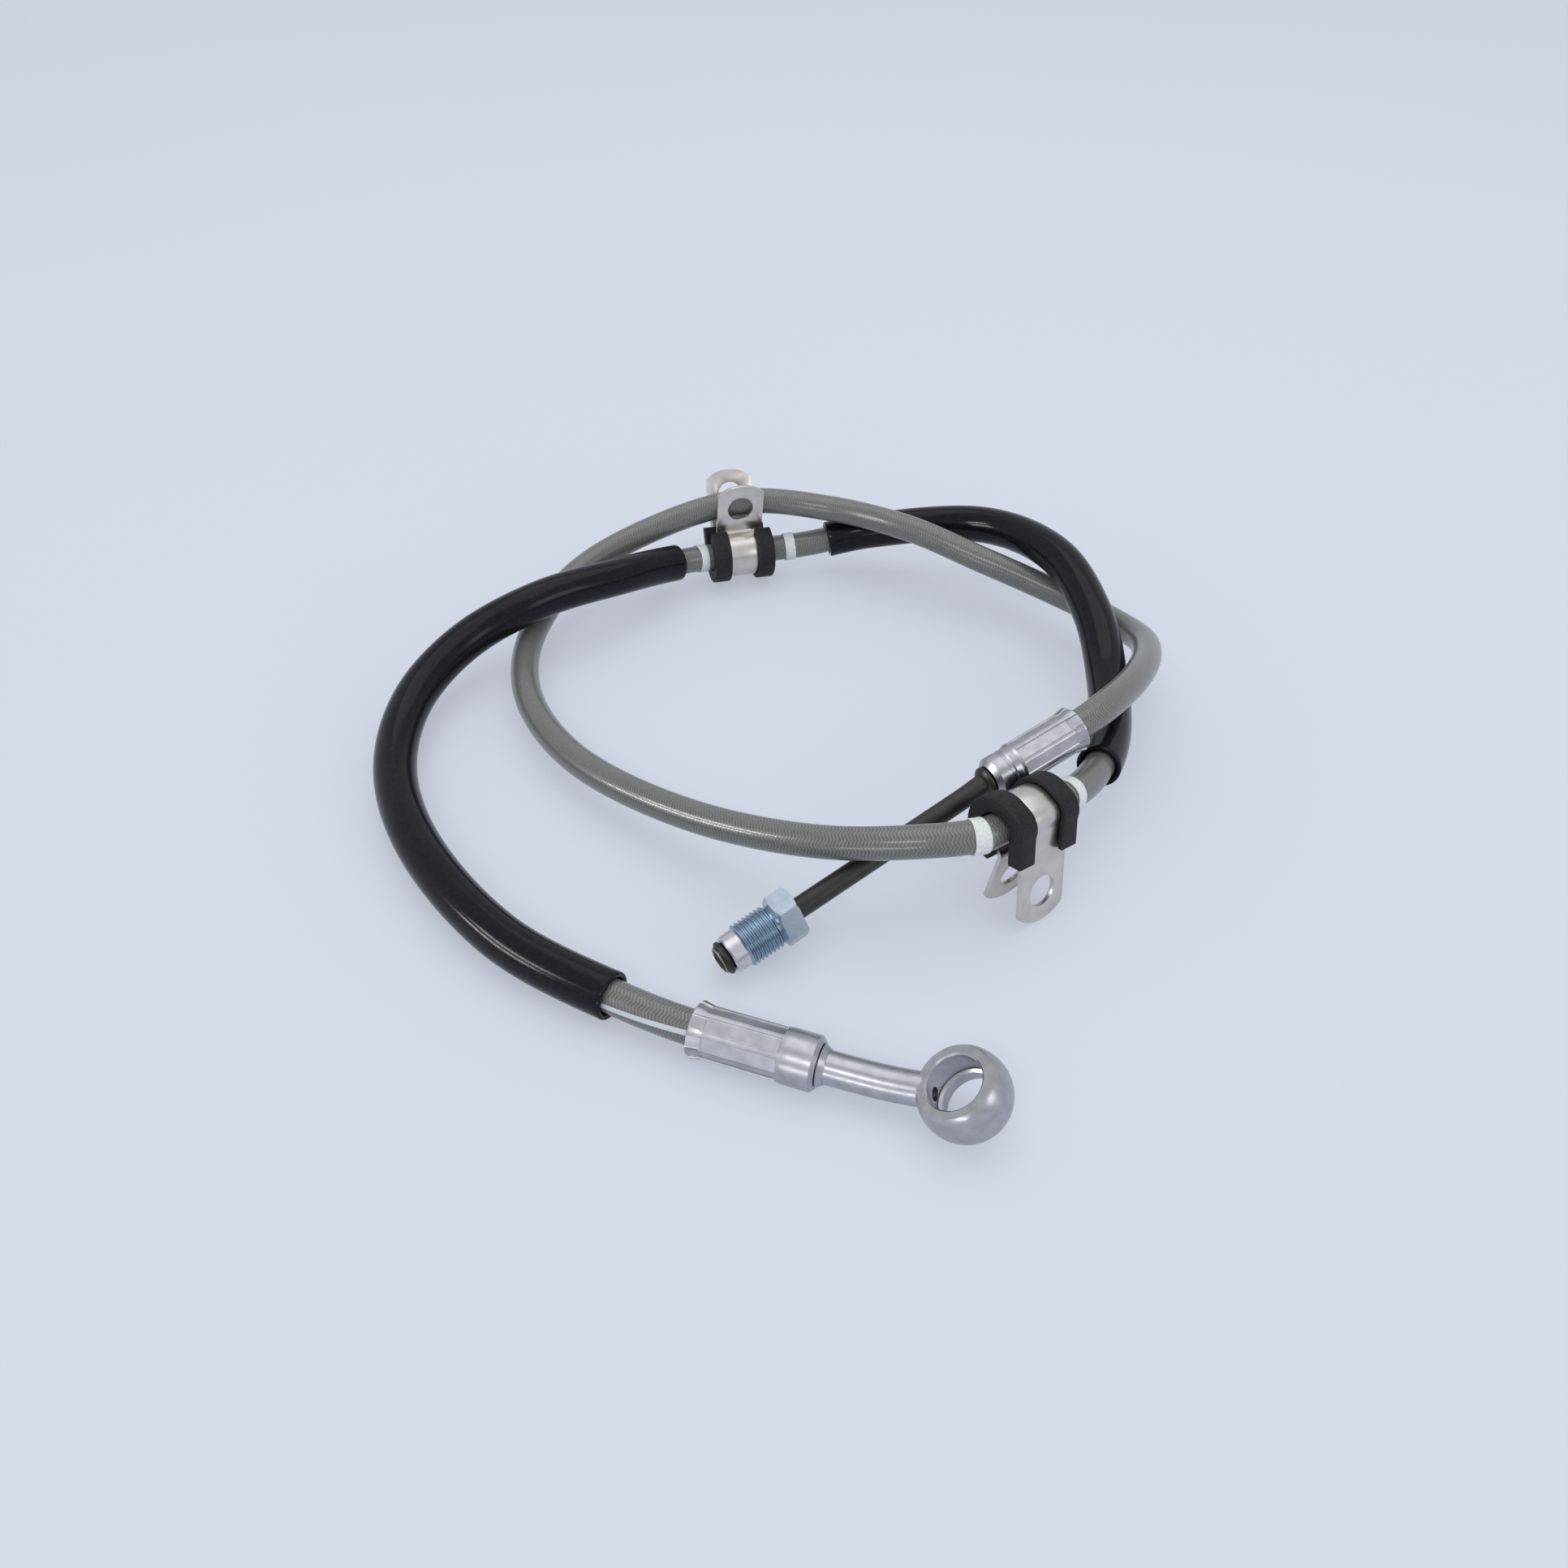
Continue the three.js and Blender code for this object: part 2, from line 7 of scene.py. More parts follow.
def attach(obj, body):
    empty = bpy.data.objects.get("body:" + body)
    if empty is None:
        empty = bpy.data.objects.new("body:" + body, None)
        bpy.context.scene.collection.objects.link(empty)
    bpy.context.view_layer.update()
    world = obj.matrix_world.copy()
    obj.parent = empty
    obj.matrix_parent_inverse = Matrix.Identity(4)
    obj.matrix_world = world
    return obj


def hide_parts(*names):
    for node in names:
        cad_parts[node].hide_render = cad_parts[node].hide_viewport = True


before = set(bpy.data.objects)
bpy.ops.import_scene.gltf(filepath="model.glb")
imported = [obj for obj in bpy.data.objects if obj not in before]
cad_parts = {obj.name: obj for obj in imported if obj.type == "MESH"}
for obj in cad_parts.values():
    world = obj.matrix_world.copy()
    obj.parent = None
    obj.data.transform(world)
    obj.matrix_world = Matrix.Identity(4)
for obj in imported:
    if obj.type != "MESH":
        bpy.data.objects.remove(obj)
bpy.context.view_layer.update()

MM = 0.001

# Camera: it looks 50 degrees up from straight down

CAMERA_PLACE = (-0.0223, -0.253, 0.211)
CAMERA_TILT = math.radians(50)
LENS_MM, SENSOR_MM = 30.48, 36
camera_data = bpy.data.cameras.new("photo_camera")
camera_data.sensor_width = SENSOR_MM
camera_data.lens = LENS_MM
camera = bpy.data.objects.new("photo_camera", camera_data)
bpy.context.collection.objects.link(camera)
camera.location = CAMERA_PLACE
camera.rotation_euler = (CAMERA_TILT, 0, 0)
bpy.context.scene.camera = camera

# Route of the hose in millimetres, from the banjo end's ferrule to the pipe end's ferrule

ROUTE = [
    (-39.8, -83.5, 5.8), (-55.3, -76, 5.7), (-82.3, -58.5, 5.5), (-107.3, -27, 5.5),
    (-117.8, 1, 6.1), (-116.8, 24.5, 9), (-106.3, 42.5, 13.4), (-88.8, 55.5, 17.4),
    (-69.3, 70.5, 15.6), (-52.3, 87, 10.8), (-34.8, 95, 9.2), (-15.3, 99.7, 9.6),
    (3.7, 101.8, 12.8), (35.7, 93, 19.6), (52.7, 71, 22.8), (59.2, 46, 20), (59.7, 23, 15.2),
    (55.2, -3, 15), (47.1, -20.9, 17.6), (36.7, -32.9, 20.9), (21, -45, 22.9),
    (7.7, -47.5, 22.9), (-15.3, -42.4, 18.2), (-45.3, -25.5, 11.6), (-74.3, 0.5, 7.4),
    (-89.3, 28, 6.5), (-91.5, 55, 7.4), (-81.3, 79.6, 12), (-60.8, 92.8, 18.3),
    (-34.8, 101.3, 22.7), (-9.3, 100.6, 20.9), (13.7, 88, 21.2), (33.7, 77.4, 17.2),
    (49.5, 70.8, 13), (61.5, 62.5, 11), (69.4, 50, 12.4), (71.8, 38.5, 15.6),
    (69.6, 25.6, 19.6), (62.7, 9.5, 24.2), (52.2, -6, 27.4), (43.7, -14, 27),
]
SPAN_STEPS = 40
# Length of hose inside each ferrule
HELD_LENGTH = 17
BANJO_AXIS = Vector((0.939, -0.342, 0)).normalized()
PIPE_AXIS = Vector((-20.6, -12.8, -4.7)).normalized()
# Distances along the hose from the banjo end's mouth
CLAMP_PLACES = {"rear_clamp": 255, "front_clamp": 480}
# The hose follows a clamp's chord, CLAMP_ROOM long, within HELD_STRAIGHT of the clamp's middle.
# Its own route has taken over again at HELD_AT_ALL.
CLAMP_ROOM, HELD_STRAIGHT, HELD_AT_ALL = 20, 8, 15
BAND_PLACES = (243, 270.2, 464.6, 493.2)
SLEEVES = {"left_sleeve": (19, 235), "right_sleeve": (282, 447)}

knots = [Vector(p) for p in ROUTE]
BANJO_MOUTH = knots[0].copy()
PIPE_MOUTH = knots[-1].copy()
knots = [BANJO_MOUTH + BANJO_AXIS * HELD_LENGTH] + knots + [PIPE_MOUTH + PIPE_AXIS * HELD_LENGTH]


def route_span(index, share):
    """A point between two knots of the centripetal spline through all of them."""
    b, c = knots[index], knots[index + 1]
    a = knots[index - 1] if index > 0 else b * 2 - c
    d = knots[index + 2] if index + 2 < len(knots) else c * 2 - b
    before, here, after = (math.sqrt((q - p).length) for p, q in ((a, b), (b, c), (c, d)))
    leave = ((b - a) / before - (c - a) / (before + here) + (c - b) / here) * here
    arrive = ((c - b) / here - (d - b) / (here + after) + (d - c) / after) * here
    t, t2, t3 = share, share**2, share**3
    return (b * (2 * t3 - 3 * t2 + 1) + leave * (t3 - 2 * t2 + t)
            + c * (3 * t2 - 2 * t3) + arrive * (t3 - t2))


def dense_route():
    """Closely spaced points on the route and their distances from its start."""
    points = [knots[0].copy()]
    for index in range(len(knots) - 1):
        points += [route_span(index, k / SPAN_STEPS) for k in range(1, SPAN_STEPS + 1)]
    distances = [0.0]
    for p, q in zip(points, points[1:]):
        distances.append(distances[-1] + (q - p).length)
    return points, distances


dense_points, dense_distances = dense_route()
ROUTE_LENGTH = dense_distances[-1]


def plain_route(place):
    """The route at a place measured from the banjo end's mouth, as if there were no clamps."""
    distance = place + HELD_LENGTH
    low, high = 0, len(dense_points) - 1
    while high - low > 1:
        middle = (low + high) // 2
        low, high = (middle, high) if dense_distances[middle] <= distance else (low, middle)
    share = (distance - dense_distances[low]) / (dense_distances[high] - dense_distances[low])
    return dense_points[low].lerp(dense_points[high], share)


def clamp_chord(place):
    return plain_route(place - CLAMP_ROOM / 2), plain_route(place + CLAMP_ROOM / 2)


def hose_line(place):
    """The hose's middle at a place, held straight by the clamps."""
    point = plain_route(place)
    for clamp in CLAMP_PLACES.values():
        away = abs(place - clamp)
        if away < HELD_AT_ALL:
            low, high = clamp_chord(clamp)
            straight = low.lerp(high, (place - clamp) / CLAMP_ROOM + 0.5)
            fade = math.pi * (away - HELD_STRAIGHT) / (HELD_AT_ALL - HELD_STRAIGHT)
            hold = 1 if away < HELD_STRAIGHT else 0.5 + 0.5 * math.cos(fade)
            point = point.lerp(straight, hold)
    return point


def frame_along(origin, direction, up=Vector((0, 0, 1))):
    """A place whose X axis follows a direction, with Z as near to upward as it can be."""
    x = direction.normalized()
    y = up.cross(x).normalized()
    z = x.cross(y)
    turn = Matrix((x, y, z)).transposed().to_4x4()
    return Matrix.Translation(origin) @ turn


# Stations about STATION_STEP millimetres apart carry a frame that doesn't twist
STATION_STEP = 1.5
station_count = round(ROUTE_LENGTH / STATION_STEP)
station_places = [-HELD_LENGTH + ROUTE_LENGTH * k / station_count for k in range(station_count + 1)]
station_points = [hose_line(place) for place in station_places]
station_sides = []
side = Vector((0, 0, 1))
for k, point in enumerate(station_points):
    ahead = station_points[min(k + 1, station_count)] - station_points[max(k - 1, 0)]
    side = (side - ahead * (side.dot(ahead) / ahead.length_squared)).normalized()
    station_sides.append((ahead.normalized(), side.copy()))


def hose_frame(place):
    """The point, direction and side vector of the hose at a place."""
    position = (place + HELD_LENGTH) / ROUTE_LENGTH * station_count
    index = min(max(int(position), 0), station_count - 1)
    share = position - index
    point = station_points[index].lerp(station_points[index + 1], share)
    direction = station_sides[index][0].lerp(station_sides[index + 1][0], share).normalized()
    up = station_sides[index][1].lerp(station_sides[index + 1][1], share)
    up = (up - direction * up.dot(direction)).normalized()
    return point, direction, up


def tube_on_hose(name, profile, sides):
    """A closed section of (place, radius) pairs carried round the hose.

    Its UV map holds the place along in millimetres and the share of a turn around.
    """
    rings = []
    for place, radius in profile:
        point, direction, up = hose_frame(place)
        across = direction.cross(up)
        rings.append([
            (point + (up * math.cos(a) + across * math.sin(a)) * radius) * MM
            for a in (2 * math.pi * k / sides for k in range(sides))
        ])
    vertices = [v for ring in rings for v in ring]
    faces = []
    corners = []
    for i in range(len(rings)):
        j = (i + 1) % len(rings)
        u, v = profile[i][0], profile[j][0]
        for k in range(sides):
            n = (k + 1) % sides
            faces.append((i * sides + k, j * sides + k, j * sides + n, i * sides + n))
            corners += [(u, k / sides), (v, k / sides), (v, (k + 1) / sides), (u, (k + 1) / sides)]
    mesh = bpy.data.meshes.new(name)
    mesh.from_pydata(vertices, [], faces)
    layer = mesh.uv_layers.new(name="along_and_around")
    for loop, corner in zip(layer.data, corners):
        loop.uv = corner
    mesh.polygons.foreach_set("use_smooth", [True] * len(mesh.polygons))
    mesh.update()
    obj = bpy.data.objects.new(name, mesh)
    bpy.context.collection.objects.link(obj)
    return obj


def tube_section(start, end, outer, inner, edge=0.0, step=STATION_STEP):
    """The outline of a tube's wall from start to end, with its outer edges eased."""
    part = 0.3 * edge
    count = max(1, round((end - start) / step))
    places = [start + (end - start) * k / count for k in range(count + 1)]
    outside = [(p, outer) for p in places]
    if edge > 0:
        outside[0] = (start, outer - edge)
        outside.insert(1, (start + part, outer - part))
        outside.insert(2, (start + edge, outer))
        outside[-1] = (end, outer - edge)
        outside.insert(-1, (end - edge, outer))
        outside.insert(-1, (end - part, outer - part))
    return outside + [(p, inner) for p in reversed(places)]


# Finishes

# The braid's zigzags around the hose, how far each leans, and the ridges per millimetre
BRAID_STRANDS, BRAID_SLANT, BRAID_PITCH = 18, 0.8, 1.3
# The painted highlight line's place around and half its width in turns, its twist in turns per
# millimetre, and how far along it runs
PAINTED_HIGHLIGHT_ANGLE, PAINTED_HIGHLIGHT_HALF_WIDTH, PAINTED_HIGHLIGHT_TWIST, PAINTED_HIGHLIGHT_LENGTH = 0.84, 0.025, 0.003, 22


def new_finish(name, colour, metallic, roughness):
    material = bpy.data.materials.new(name)
    material.use_nodes = True
    shader = material.node_tree.nodes["Principled BSDF"]
    shader.inputs["Base Color"].default_value = (*colour, 1)
    shader.inputs["Metallic"].default_value = metallic
    shader.inputs["Roughness"].default_value = roughness
    return material


def add_node(material, kind, settings=None, **values):
    node = material.node_tree.nodes.new(kind)
    for key, value in (settings or {}).items():
        setattr(node, key, value)
    for key, value in values.items():
        node.inputs[key.replace("_", " ")].default_value = value
    return node


def join(material, source, output, target, socket):
    material.node_tree.links.new(source.outputs[output], target.inputs[socket])


def shader_of(material):
    return material.node_tree.nodes["Principled BSDF"]


def object_noise(material, scale, detail, stretch=(1, 1, 1)):
    """Noise in the piece's own metres, so a scale of 1000 is about a grain a millimetre."""
    coordinates = add_node(material, "ShaderNodeTexCoord")
    mapping = add_node(material, "ShaderNodeMapping")
    mapping.inputs["Scale"].default_value = stretch
    noise = add_node(material, "ShaderNodeTexNoise", Scale=scale, Detail=detail)
    join(material, coordinates, "Object", mapping, "Vector")
    join(material, mapping, "Vector", noise, "Vector")
    return noise


def ramp(material, source, output, stops):
    """A colour ramp of (position, colour) stops, driven by another node."""
    node = add_node(material, "ShaderNodeValToRGB")
    while len(node.color_ramp.elements) < len(stops):
        node.color_ramp.elements.new(0.5)
    for element, (position, colour) in zip(node.color_ramp.elements, stops):
        element.position = position
        element.color = (*colour, 1)
    join(material, source, output, node, "Fac")
    return node


def roughness_from(material, noise, low, high):
    spread = add_node(material, "ShaderNodeMapRange")
    spread.inputs["To Min"].default_value = low
    spread.inputs["To Max"].default_value = high
    join(material, noise, "Fac", spread, "Value")
    join(material, spread, "Result", shader_of(material), "Roughness")


def colour_from(material, noise, stops):
    colours = ramp(material, noise, "Fac", stops)
    join(material, colours, "Color", shader_of(material), "Base Color")


def bump_from(material, source, output, strength, depth_mm):
    bump = add_node(material, "ShaderNodeBump", Strength=strength, Distance=depth_mm * MM)
    join(material, source, output, bump, "Height")
    join(material, bump, "Normal", shader_of(material), "Normal")


def mix_colours(material, settings):
    """A colour mix node with its own sockets: factor, two colours and the result."""
    mix = add_node(material, "ShaderNodeMix", {"data_type": "RGBA", **settings})
    return mix.inputs["Factor"], mix.inputs[6], mix.inputs[7], mix.outputs[2]


def plated_metal(name, dark, light, low, high):
    """Zinc plate: cloudy colour, a fine grain and small changes of gloss."""
    material = new_finish(name, light, 1.0, 0.3)
    colour_from(material, object_noise(material, 420, 5), [(0.3, dark), (0.7, light)])
    roughness_from(material, object_noise(material, 900, 3), low, high)
    bump_from(material, object_noise(material, 2400, 2), "Fac", 0.05, 0.04)
    return material


def tinted_by_tone(material, stops):
    """Multiplies a finish's colour by one that is picked with the mesh's tone attribute."""
    links = material.node_tree.links
    base_colour = shader_of(material).inputs["Base Color"]
    plain = base_colour.links[0].from_socket
    attribute = {"attribute_name": "tone", "attribute_type": "GEOMETRY"}
    tints = ramp(material, add_node(material, "ShaderNodeAttribute", attribute), "Fac", stops)
    factor, first, second, result = mix_colours(material, {"blend_type": "MULTIPLY"})
    factor.default_value = 1
    links.new(plain, first)
    links.new(tints.outputs["Color"], second)
    links.new(result, base_colour)
    return material


def hose_cover_finish():
    """Grey see-through cover: the braid shows as fine zigzag ridges under it, and a painted
    highlight line runs along one side near the banjo end.
    """
    material = new_finish("hose_cover_finish", (0.2, 0.21, 0.19), 0.0, 0.3)
    shader = shader_of(material)
    links = material.node_tree.links
    place = add_node(material, "ShaderNodeUVMap")
    split = add_node(material, "ShaderNodeSeparateXYZ")
    links.new(place.outputs["UV"], split.inputs["Vector"])
    along, around = split.outputs["X"], split.outputs["Y"]

    def maths(operation, *terms):
        """The result of one operation on numbers or on other results."""
        node = add_node(material, "ShaderNodeMath", {"operation": operation})
        for socket, term in zip(node.inputs, terms):
            if isinstance(term, bpy.types.NodeSocket):
                links.new(term, socket)
            else:
                socket.default_value = term
        return node.outputs["Value"]

    zigzag = maths("PINGPONG", maths("MULTIPLY", around, BRAID_STRANDS), 1)
    phase = maths("MULTIPLY_ADD", along, BRAID_PITCH, maths("MULTIPLY", zigzag, BRAID_SLANT))
    wires = maths("SINE", maths("MULTIPLY", phase, 2 * math.pi))
    grain = object_noise(material, 1500, 4)
    relief = maths("MULTIPLY_ADD", grain.outputs["Fac"], 0.5, maths("MULTIPLY", wires, 0.22))
    colours = ramp(material, relief.node, "Value", [
        (0.05, (0.105, 0.108, 0.1)), (0.28, (0.155, 0.159, 0.147)), (0.55, (0.2, 0.204, 0.19)),
    ])

    # A pale line of painted highlight runs along the cover's side as far as the first sleeve
    turned_place = maths("ADD", maths("MULTIPLY", along, PAINTED_HIGHLIGHT_TWIST), around)
    in_painted_highlight = maths("COMPARE", turned_place, PAINTED_HIGHLIGHT_ANGLE, PAINTED_HIGHLIGHT_HALF_WIDTH)
    line = maths("MULTIPLY", in_painted_highlight, maths("LESS_THAN", along, PAINTED_HIGHLIGHT_LENGTH))
    factor, first, second, result = mix_colours(material, {})
    links.new(line, factor)
    links.new(colours.outputs["Color"], first)
    # The pale colour of the painted highlight line
    second.default_value = (0.62, 0.68, 0.72, 1)
    links.new(result, shader.inputs["Base Color"])
    bump_from(material, relief.node, "Value", 0.3, 0.05)
    shader.inputs["Coat Weight"].default_value = 0.4
    shader.inputs["Coat Roughness"].default_value = 0.12
    return material


def sleeve_finish():
    material = new_finish("sleeve_finish", (0.01, 0.01, 0.013), 0.0, 0.3)
    colour_from(material, object_noise(material, 900, 5), [
        (0.4, (0.0055, 0.0055, 0.008)), (0.75, (0.011, 0.011, 0.015)),
    ])
    shader_of(material).inputs["Specular IOR Level"].default_value = 0.18
    roughness_from(material, object_noise(material, 350, 4), 0.12, 0.2)
    bump_from(material, object_noise(material, 1500, 3), "Fac", 0.06, 0.03)
    return material


def rubber_finish():
    material = new_finish("cushion_rubber", (0.012, 0.011, 0.013), 0.0, 0.6)
    grain = object_noise(material, 1600, 5)
    colour_from(material, grain, [(0.35, (0.008, 0.0075, 0.01)), (0.7, (0.018, 0.017, 0.02))])
    shader_of(material).inputs["Specular IOR Level"].default_value = 0.3
    roughness_from(material, object_noise(material, 500, 3), 0.5, 0.72)
    bump_from(material, grain, "Fac", 0.35, 0.08)
    return material


def strap_finish():
    """Satin stainless strip, with rolling marks along its length."""
    material = new_finish("strap_steel", (0.62, 0.6, 0.57), 1.0, 0.3)
    marks = object_noise(material, 1000, 3, (0.35, 1.6, 1.6))
    colour_from(material, object_noise(material, 180, 3), [
        (0.3, (0.55, 0.53, 0.5)), (0.7, (0.68, 0.66, 0.62)),
    ])
    roughness_from(material, marks, 0.24, 0.38)
    bump_from(material, marks, "Fac", 0.1, 0.04)
    return material


def band_finish():
    material = new_finish("band_white", (0.76, 0.78, 0.78), 0.0, 0.5)
    grain = object_noise(material, 1300, 4)
    colour_from(material, grain, [(0.3, (0.66, 0.69, 0.7)), (0.65, (0.8, 0.81, 0.8))])
    bump_from(material, grain, "Fac", 0.2, 0.05)
    return material


def pipe_finish():
    material = new_finish("pipe_coating", (0.022, 0.023, 0.019), 0.2, 0.4)
    colour_from(material, object_noise(material, 420, 4), [
        (0.3, (0.014, 0.015, 0.012)), (0.72, (0.028, 0.029, 0.024)),
    ])
    roughness_from(material, object_noise(material, 900, 3), 0.3, 0.5)
    bump_from(material, object_noise(material, 2200, 2), "Fac", 0.2, 0.05)
    return material


def inner_finish(name, colour, metallic):
    """A plain grain for the hidden layers of the hose."""
    material = new_finish(name, colour, metallic, 0.4)
    grain = object_noise(material, 1500, 3)
    colour_from(material, grain, [(0.3, tuple(c * 0.8 for c in colour)), (0.7, colour)])
    bump_from(material, grain, "Fac", 0.2, 0.05)
    return material


ZINC = plated_metal("zinc_plate", (0.37, 0.37, 0.4), (0.47, 0.47, 0.505), 0.26, 0.38)
# Tones of the nut: thread, hexagon and the paler nose
NUT_PLATE = plated_metal("blue_zinc_plate", (0.82, 0.82, 0.82), (0.98, 0.98, 0.98), 0.2, 0.34)
NUT_ZINC = tinted_by_tone(NUT_PLATE, [
    (0.1, (0.33, 0.43, 0.54)), (0.5, (0.44, 0.51, 0.59)), (0.9, (0.7, 0.69, 0.74)),
])
COVER = hose_cover_finish()
SLEEVE = sleeve_finish()
RUBBER = rubber_finish()
STRAP = strap_finish()
BAND = band_finish()
# Tones of the pipe: coating and the bare metal of the flare's rings
PIPE = tinted_by_tone(pipe_finish(), [(0.3, (1, 1, 1)), (0.7, (16, 16, 15))])
BRAID = inner_finish("braid_steel", (0.5, 0.5, 0.49), 1.0)
LINER = inner_finish("liner_white", (0.75, 0.75, 0.7), 0.0)


def finish_piece(obj, material, slot, *nodes, body="hose_body"):
    obj.data.materials.clear()
    obj.data.materials.append(material)
    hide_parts(*nodes)
    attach(obj, body)
    return obj


# Hose, its inner layers, sleeves and bands

END = ROUTE_LENGTH - HELD_LENGTH
HOSE_OUTER, HOSE_INNER, BRAID_OUTER, BRAID_INNER = 3.7, 3.3, 2.85, 2.55
LINER_OUTER, LINER_INNER, LAYER_STEP = 2.25, 1.6, 3
SLEEVE_OUTER, SLEEVE_INNER, SLEEVE_EDGE = 5.2, 4.3, 0.35
BAND_OUTER, BAND_INNER, BAND_HALF_LENGTH, BAND_EDGE = 4.05, 3.72, 1.5, 0.12

hose = tube_on_hose("hose", tube_section(-HELD_LENGTH, END, HOSE_OUTER, HOSE_INNER), sides=28)
finish_piece(hose, COVER, "hose_cover", "hose_cover")
braid_section = tube_section(-HELD_LENGTH, END, BRAID_OUTER, BRAID_INNER, step=LAYER_STEP)
finish_piece(tube_on_hose("braid", braid_section, sides=14), BRAID, "steel_braid", "steel_braid")
liner_section = tube_section(-HELD_LENGTH, END, LINER_OUTER, LINER_INNER, step=LAYER_STEP)
finish_piece(tube_on_hose("liner", liner_section, sides=12), LINER, "liner", "ptfe_liner")
for name, (start, end) in SLEEVES.items():
    section = tube_section(start, end, SLEEVE_OUTER, SLEEVE_INNER, SLEEVE_EDGE)
    sleeve = tube_on_hose(f"{name}_tube", section, sides=32)
    finish_piece(sleeve, SLEEVE, "sleeve", name)
for number, place in enumerate(BAND_PLACES, 1):
    section = tube_section(
        place - BAND_HALF_LENGTH, place + BAND_HALF_LENGTH, BAND_OUTER, BAND_INNER, BAND_EDGE,
        step=1,
    )
    band = tube_on_hose(f"white_band_{number}", section, sides=28)
    finish_piece(band, BAND, "marker_band", f"marker_band_{number}")


# Tools for the turned, bent and cut pieces. Sizes are in millimetres in the piece's own frame.

def start_clean():
    bpy.ops.object.select_all(action="DESELECT")


def pick(obj):
    start_clean()
    obj.select_set(True)
    bpy.context.view_layer.objects.active = obj


def merge_and_leave(distance):
    """Joins selected points that meet, faces the skin outward and leaves edit mode."""
    bpy.ops.mesh.remove_doubles(threshold=distance)
    bpy.ops.mesh.normals_make_consistent(inside=False)
    bpy.ops.object.mode_set(mode="OBJECT")


# Stands in for a radius of 0 until the points are merged
TIP_RADIUS = 0.0004


def turned(name, rings, segments, start_angle=0.0):
    """A closed piece turned round X from rings of (place along X, radius).

    A radius of 0 becomes a point.
    """
    rings = [(x, max(r, TIP_RADIUS)) for x, r in rings]
    start_clean()
    bpy.ops.mesh.primitive_circle_add(
        vertices=segments, radius=rings[0][1], fill_type="NOTHING",
        rotation=(start_angle, math.pi / 2, 0),
    )
    obj = bpy.context.object
    obj.name = name
    bpy.ops.object.transform_apply(location=False, rotation=True, scale=False)
    bpy.ops.object.mode_set(mode="EDIT")
    bpy.ops.mesh.select_all(action="SELECT")
    bpy.ops.transform.translate(value=(rings[0][0], 0, 0))
    for (x, r), (next_x, next_r) in zip(rings, rings[1:]):
        bpy.ops.mesh.extrude_region_move(TRANSFORM_OT_translate={"value": (next_x - x, 0, 0)})
        if next_r != r:
            factor = next_r / r
            bpy.ops.transform.resize(value=(1, factor, factor), center_override=(next_x, 0, 0))
    bpy.ops.mesh.select_all(action="SELECT")
    merge_and_leave(2 * TIP_RADIUS)
    return obj


def rod(name, start, end, radius, segments):
    return turned(name, [(start, 0), (start, radius), (end, radius), (end, 0)], segments)


def box(name, centre, size):
    start_clean()
    bpy.ops.mesh.primitive_cube_add(size=1, location=centre)
    obj = bpy.context.object
    obj.name = name
    obj.scale = size
    bpy.ops.object.transform_apply(location=True, rotation=False, scale=True)
    return obj


def combine(obj, tool, operation):
    """Cuts a piece with a tool, joins the tool on or keeps what they share. The tool goes away."""
    pick(obj)
    modifier = obj.modifiers.new("shape", "BOOLEAN")
    modifier.operation = operation
    modifier.solver = "EXACT"
    modifier.object = tool
    bpy.ops.object.modifier_apply(modifier=modifier.name)
    bpy.data.objects.remove(tool, do_unlink=True)


def ease_edges(obj, width, segments, angle=32):
    pick(obj)
    modifier = obj.modifiers.new("eased_edges", "BEVEL")
    modifier.width = width
    modifier.segments = segments
    modifier.limit_method = "ANGLE"
    modifier.angle_limit = math.radians(angle)
    modifier.use_clamp_overlap = True
    bpy.ops.object.modifier_apply(modifier=modifier.name)


def split_faces(obj):
    """Cuts a piece's faces into triangles, because a boolean can fail on faces that aren't flat."""
    pick(obj)
    bpy.ops.object.mode_set(mode="EDIT")
    bpy.ops.mesh.select_all(action="SELECT")
    bpy.ops.mesh.quads_convert_to_tris(quad_method="SHORTEST_DIAGONAL", ngon_method="BEAUTY")
    bpy.ops.object.mode_set(mode="OBJECT")


def set_tones(obj, place, tone_at):
    """Keeps a value per vertex for the finish to read.

    It comes from the place along an axis and the distance off it.
    """
    tones = obj.data.attributes.new("tone", "FLOAT", "POINT")
    back = place.inverted() @ Matrix.Scale(1 / MM, 4)
    for vertex in obj.data.vertices:
        spot = back @ vertex.co
        tones.data[vertex.index].value = tone_at(spot.x, math.hypot(spot.y, spot.z))


def place_piece(obj, matrix, smooth_angle):
    """Puts a piece into the row frame and smooths the shading of its round faces."""
    obj.data.transform(Matrix.Scale(MM, 4) @ matrix)
    obj.data.update()
    pick(obj)
    bpy.ops.object.shade_smooth_by_angle(angle=math.radians(smooth_angle))


def add_line(name, dimensions, kind, points):
    """A curve object with one line through points in the plane or in space."""
    data = bpy.data.curves.new(name, "CURVE")
    data.dimensions = dimensions
    line = data.splines.new(kind)
    line.points.add(len(points) - 1)
    for point, where in zip(line.points, points):
        point.co = (*where, *(0,) * (3 - len(where)), 1)
    obj = bpy.data.objects.new(name, data)
    bpy.context.collection.objects.link(obj)
    return obj, line


def curve_to_mesh(obj):
    obj.data.use_fill_caps = True
    pick(obj)
    bpy.ops.object.convert(target="MESH")
    bpy.ops.object.mode_set(mode="EDIT")
    bpy.ops.mesh.select_all(action="SELECT")
    merge_and_leave(0.001)
    return bpy.context.object


def bent_bar(name, points, outline):
    """A bar of one closed section carried along a line of points in the XY plane."""
    start_clean()
    section, section_line = add_line(f"{name}_section", "2D", "POLY", outline)
    section_line.use_cyclic_u = True
    bar, _ = add_line(name, "2D", "POLY", points)
    section.data.fill_mode = bar.data.fill_mode = "NONE"
    bar.data.bevel_mode = "OBJECT"
    bar.data.bevel_object = section
    bar = curve_to_mesh(bar)
    bpy.data.objects.remove(section, do_unlink=True)
    return bar


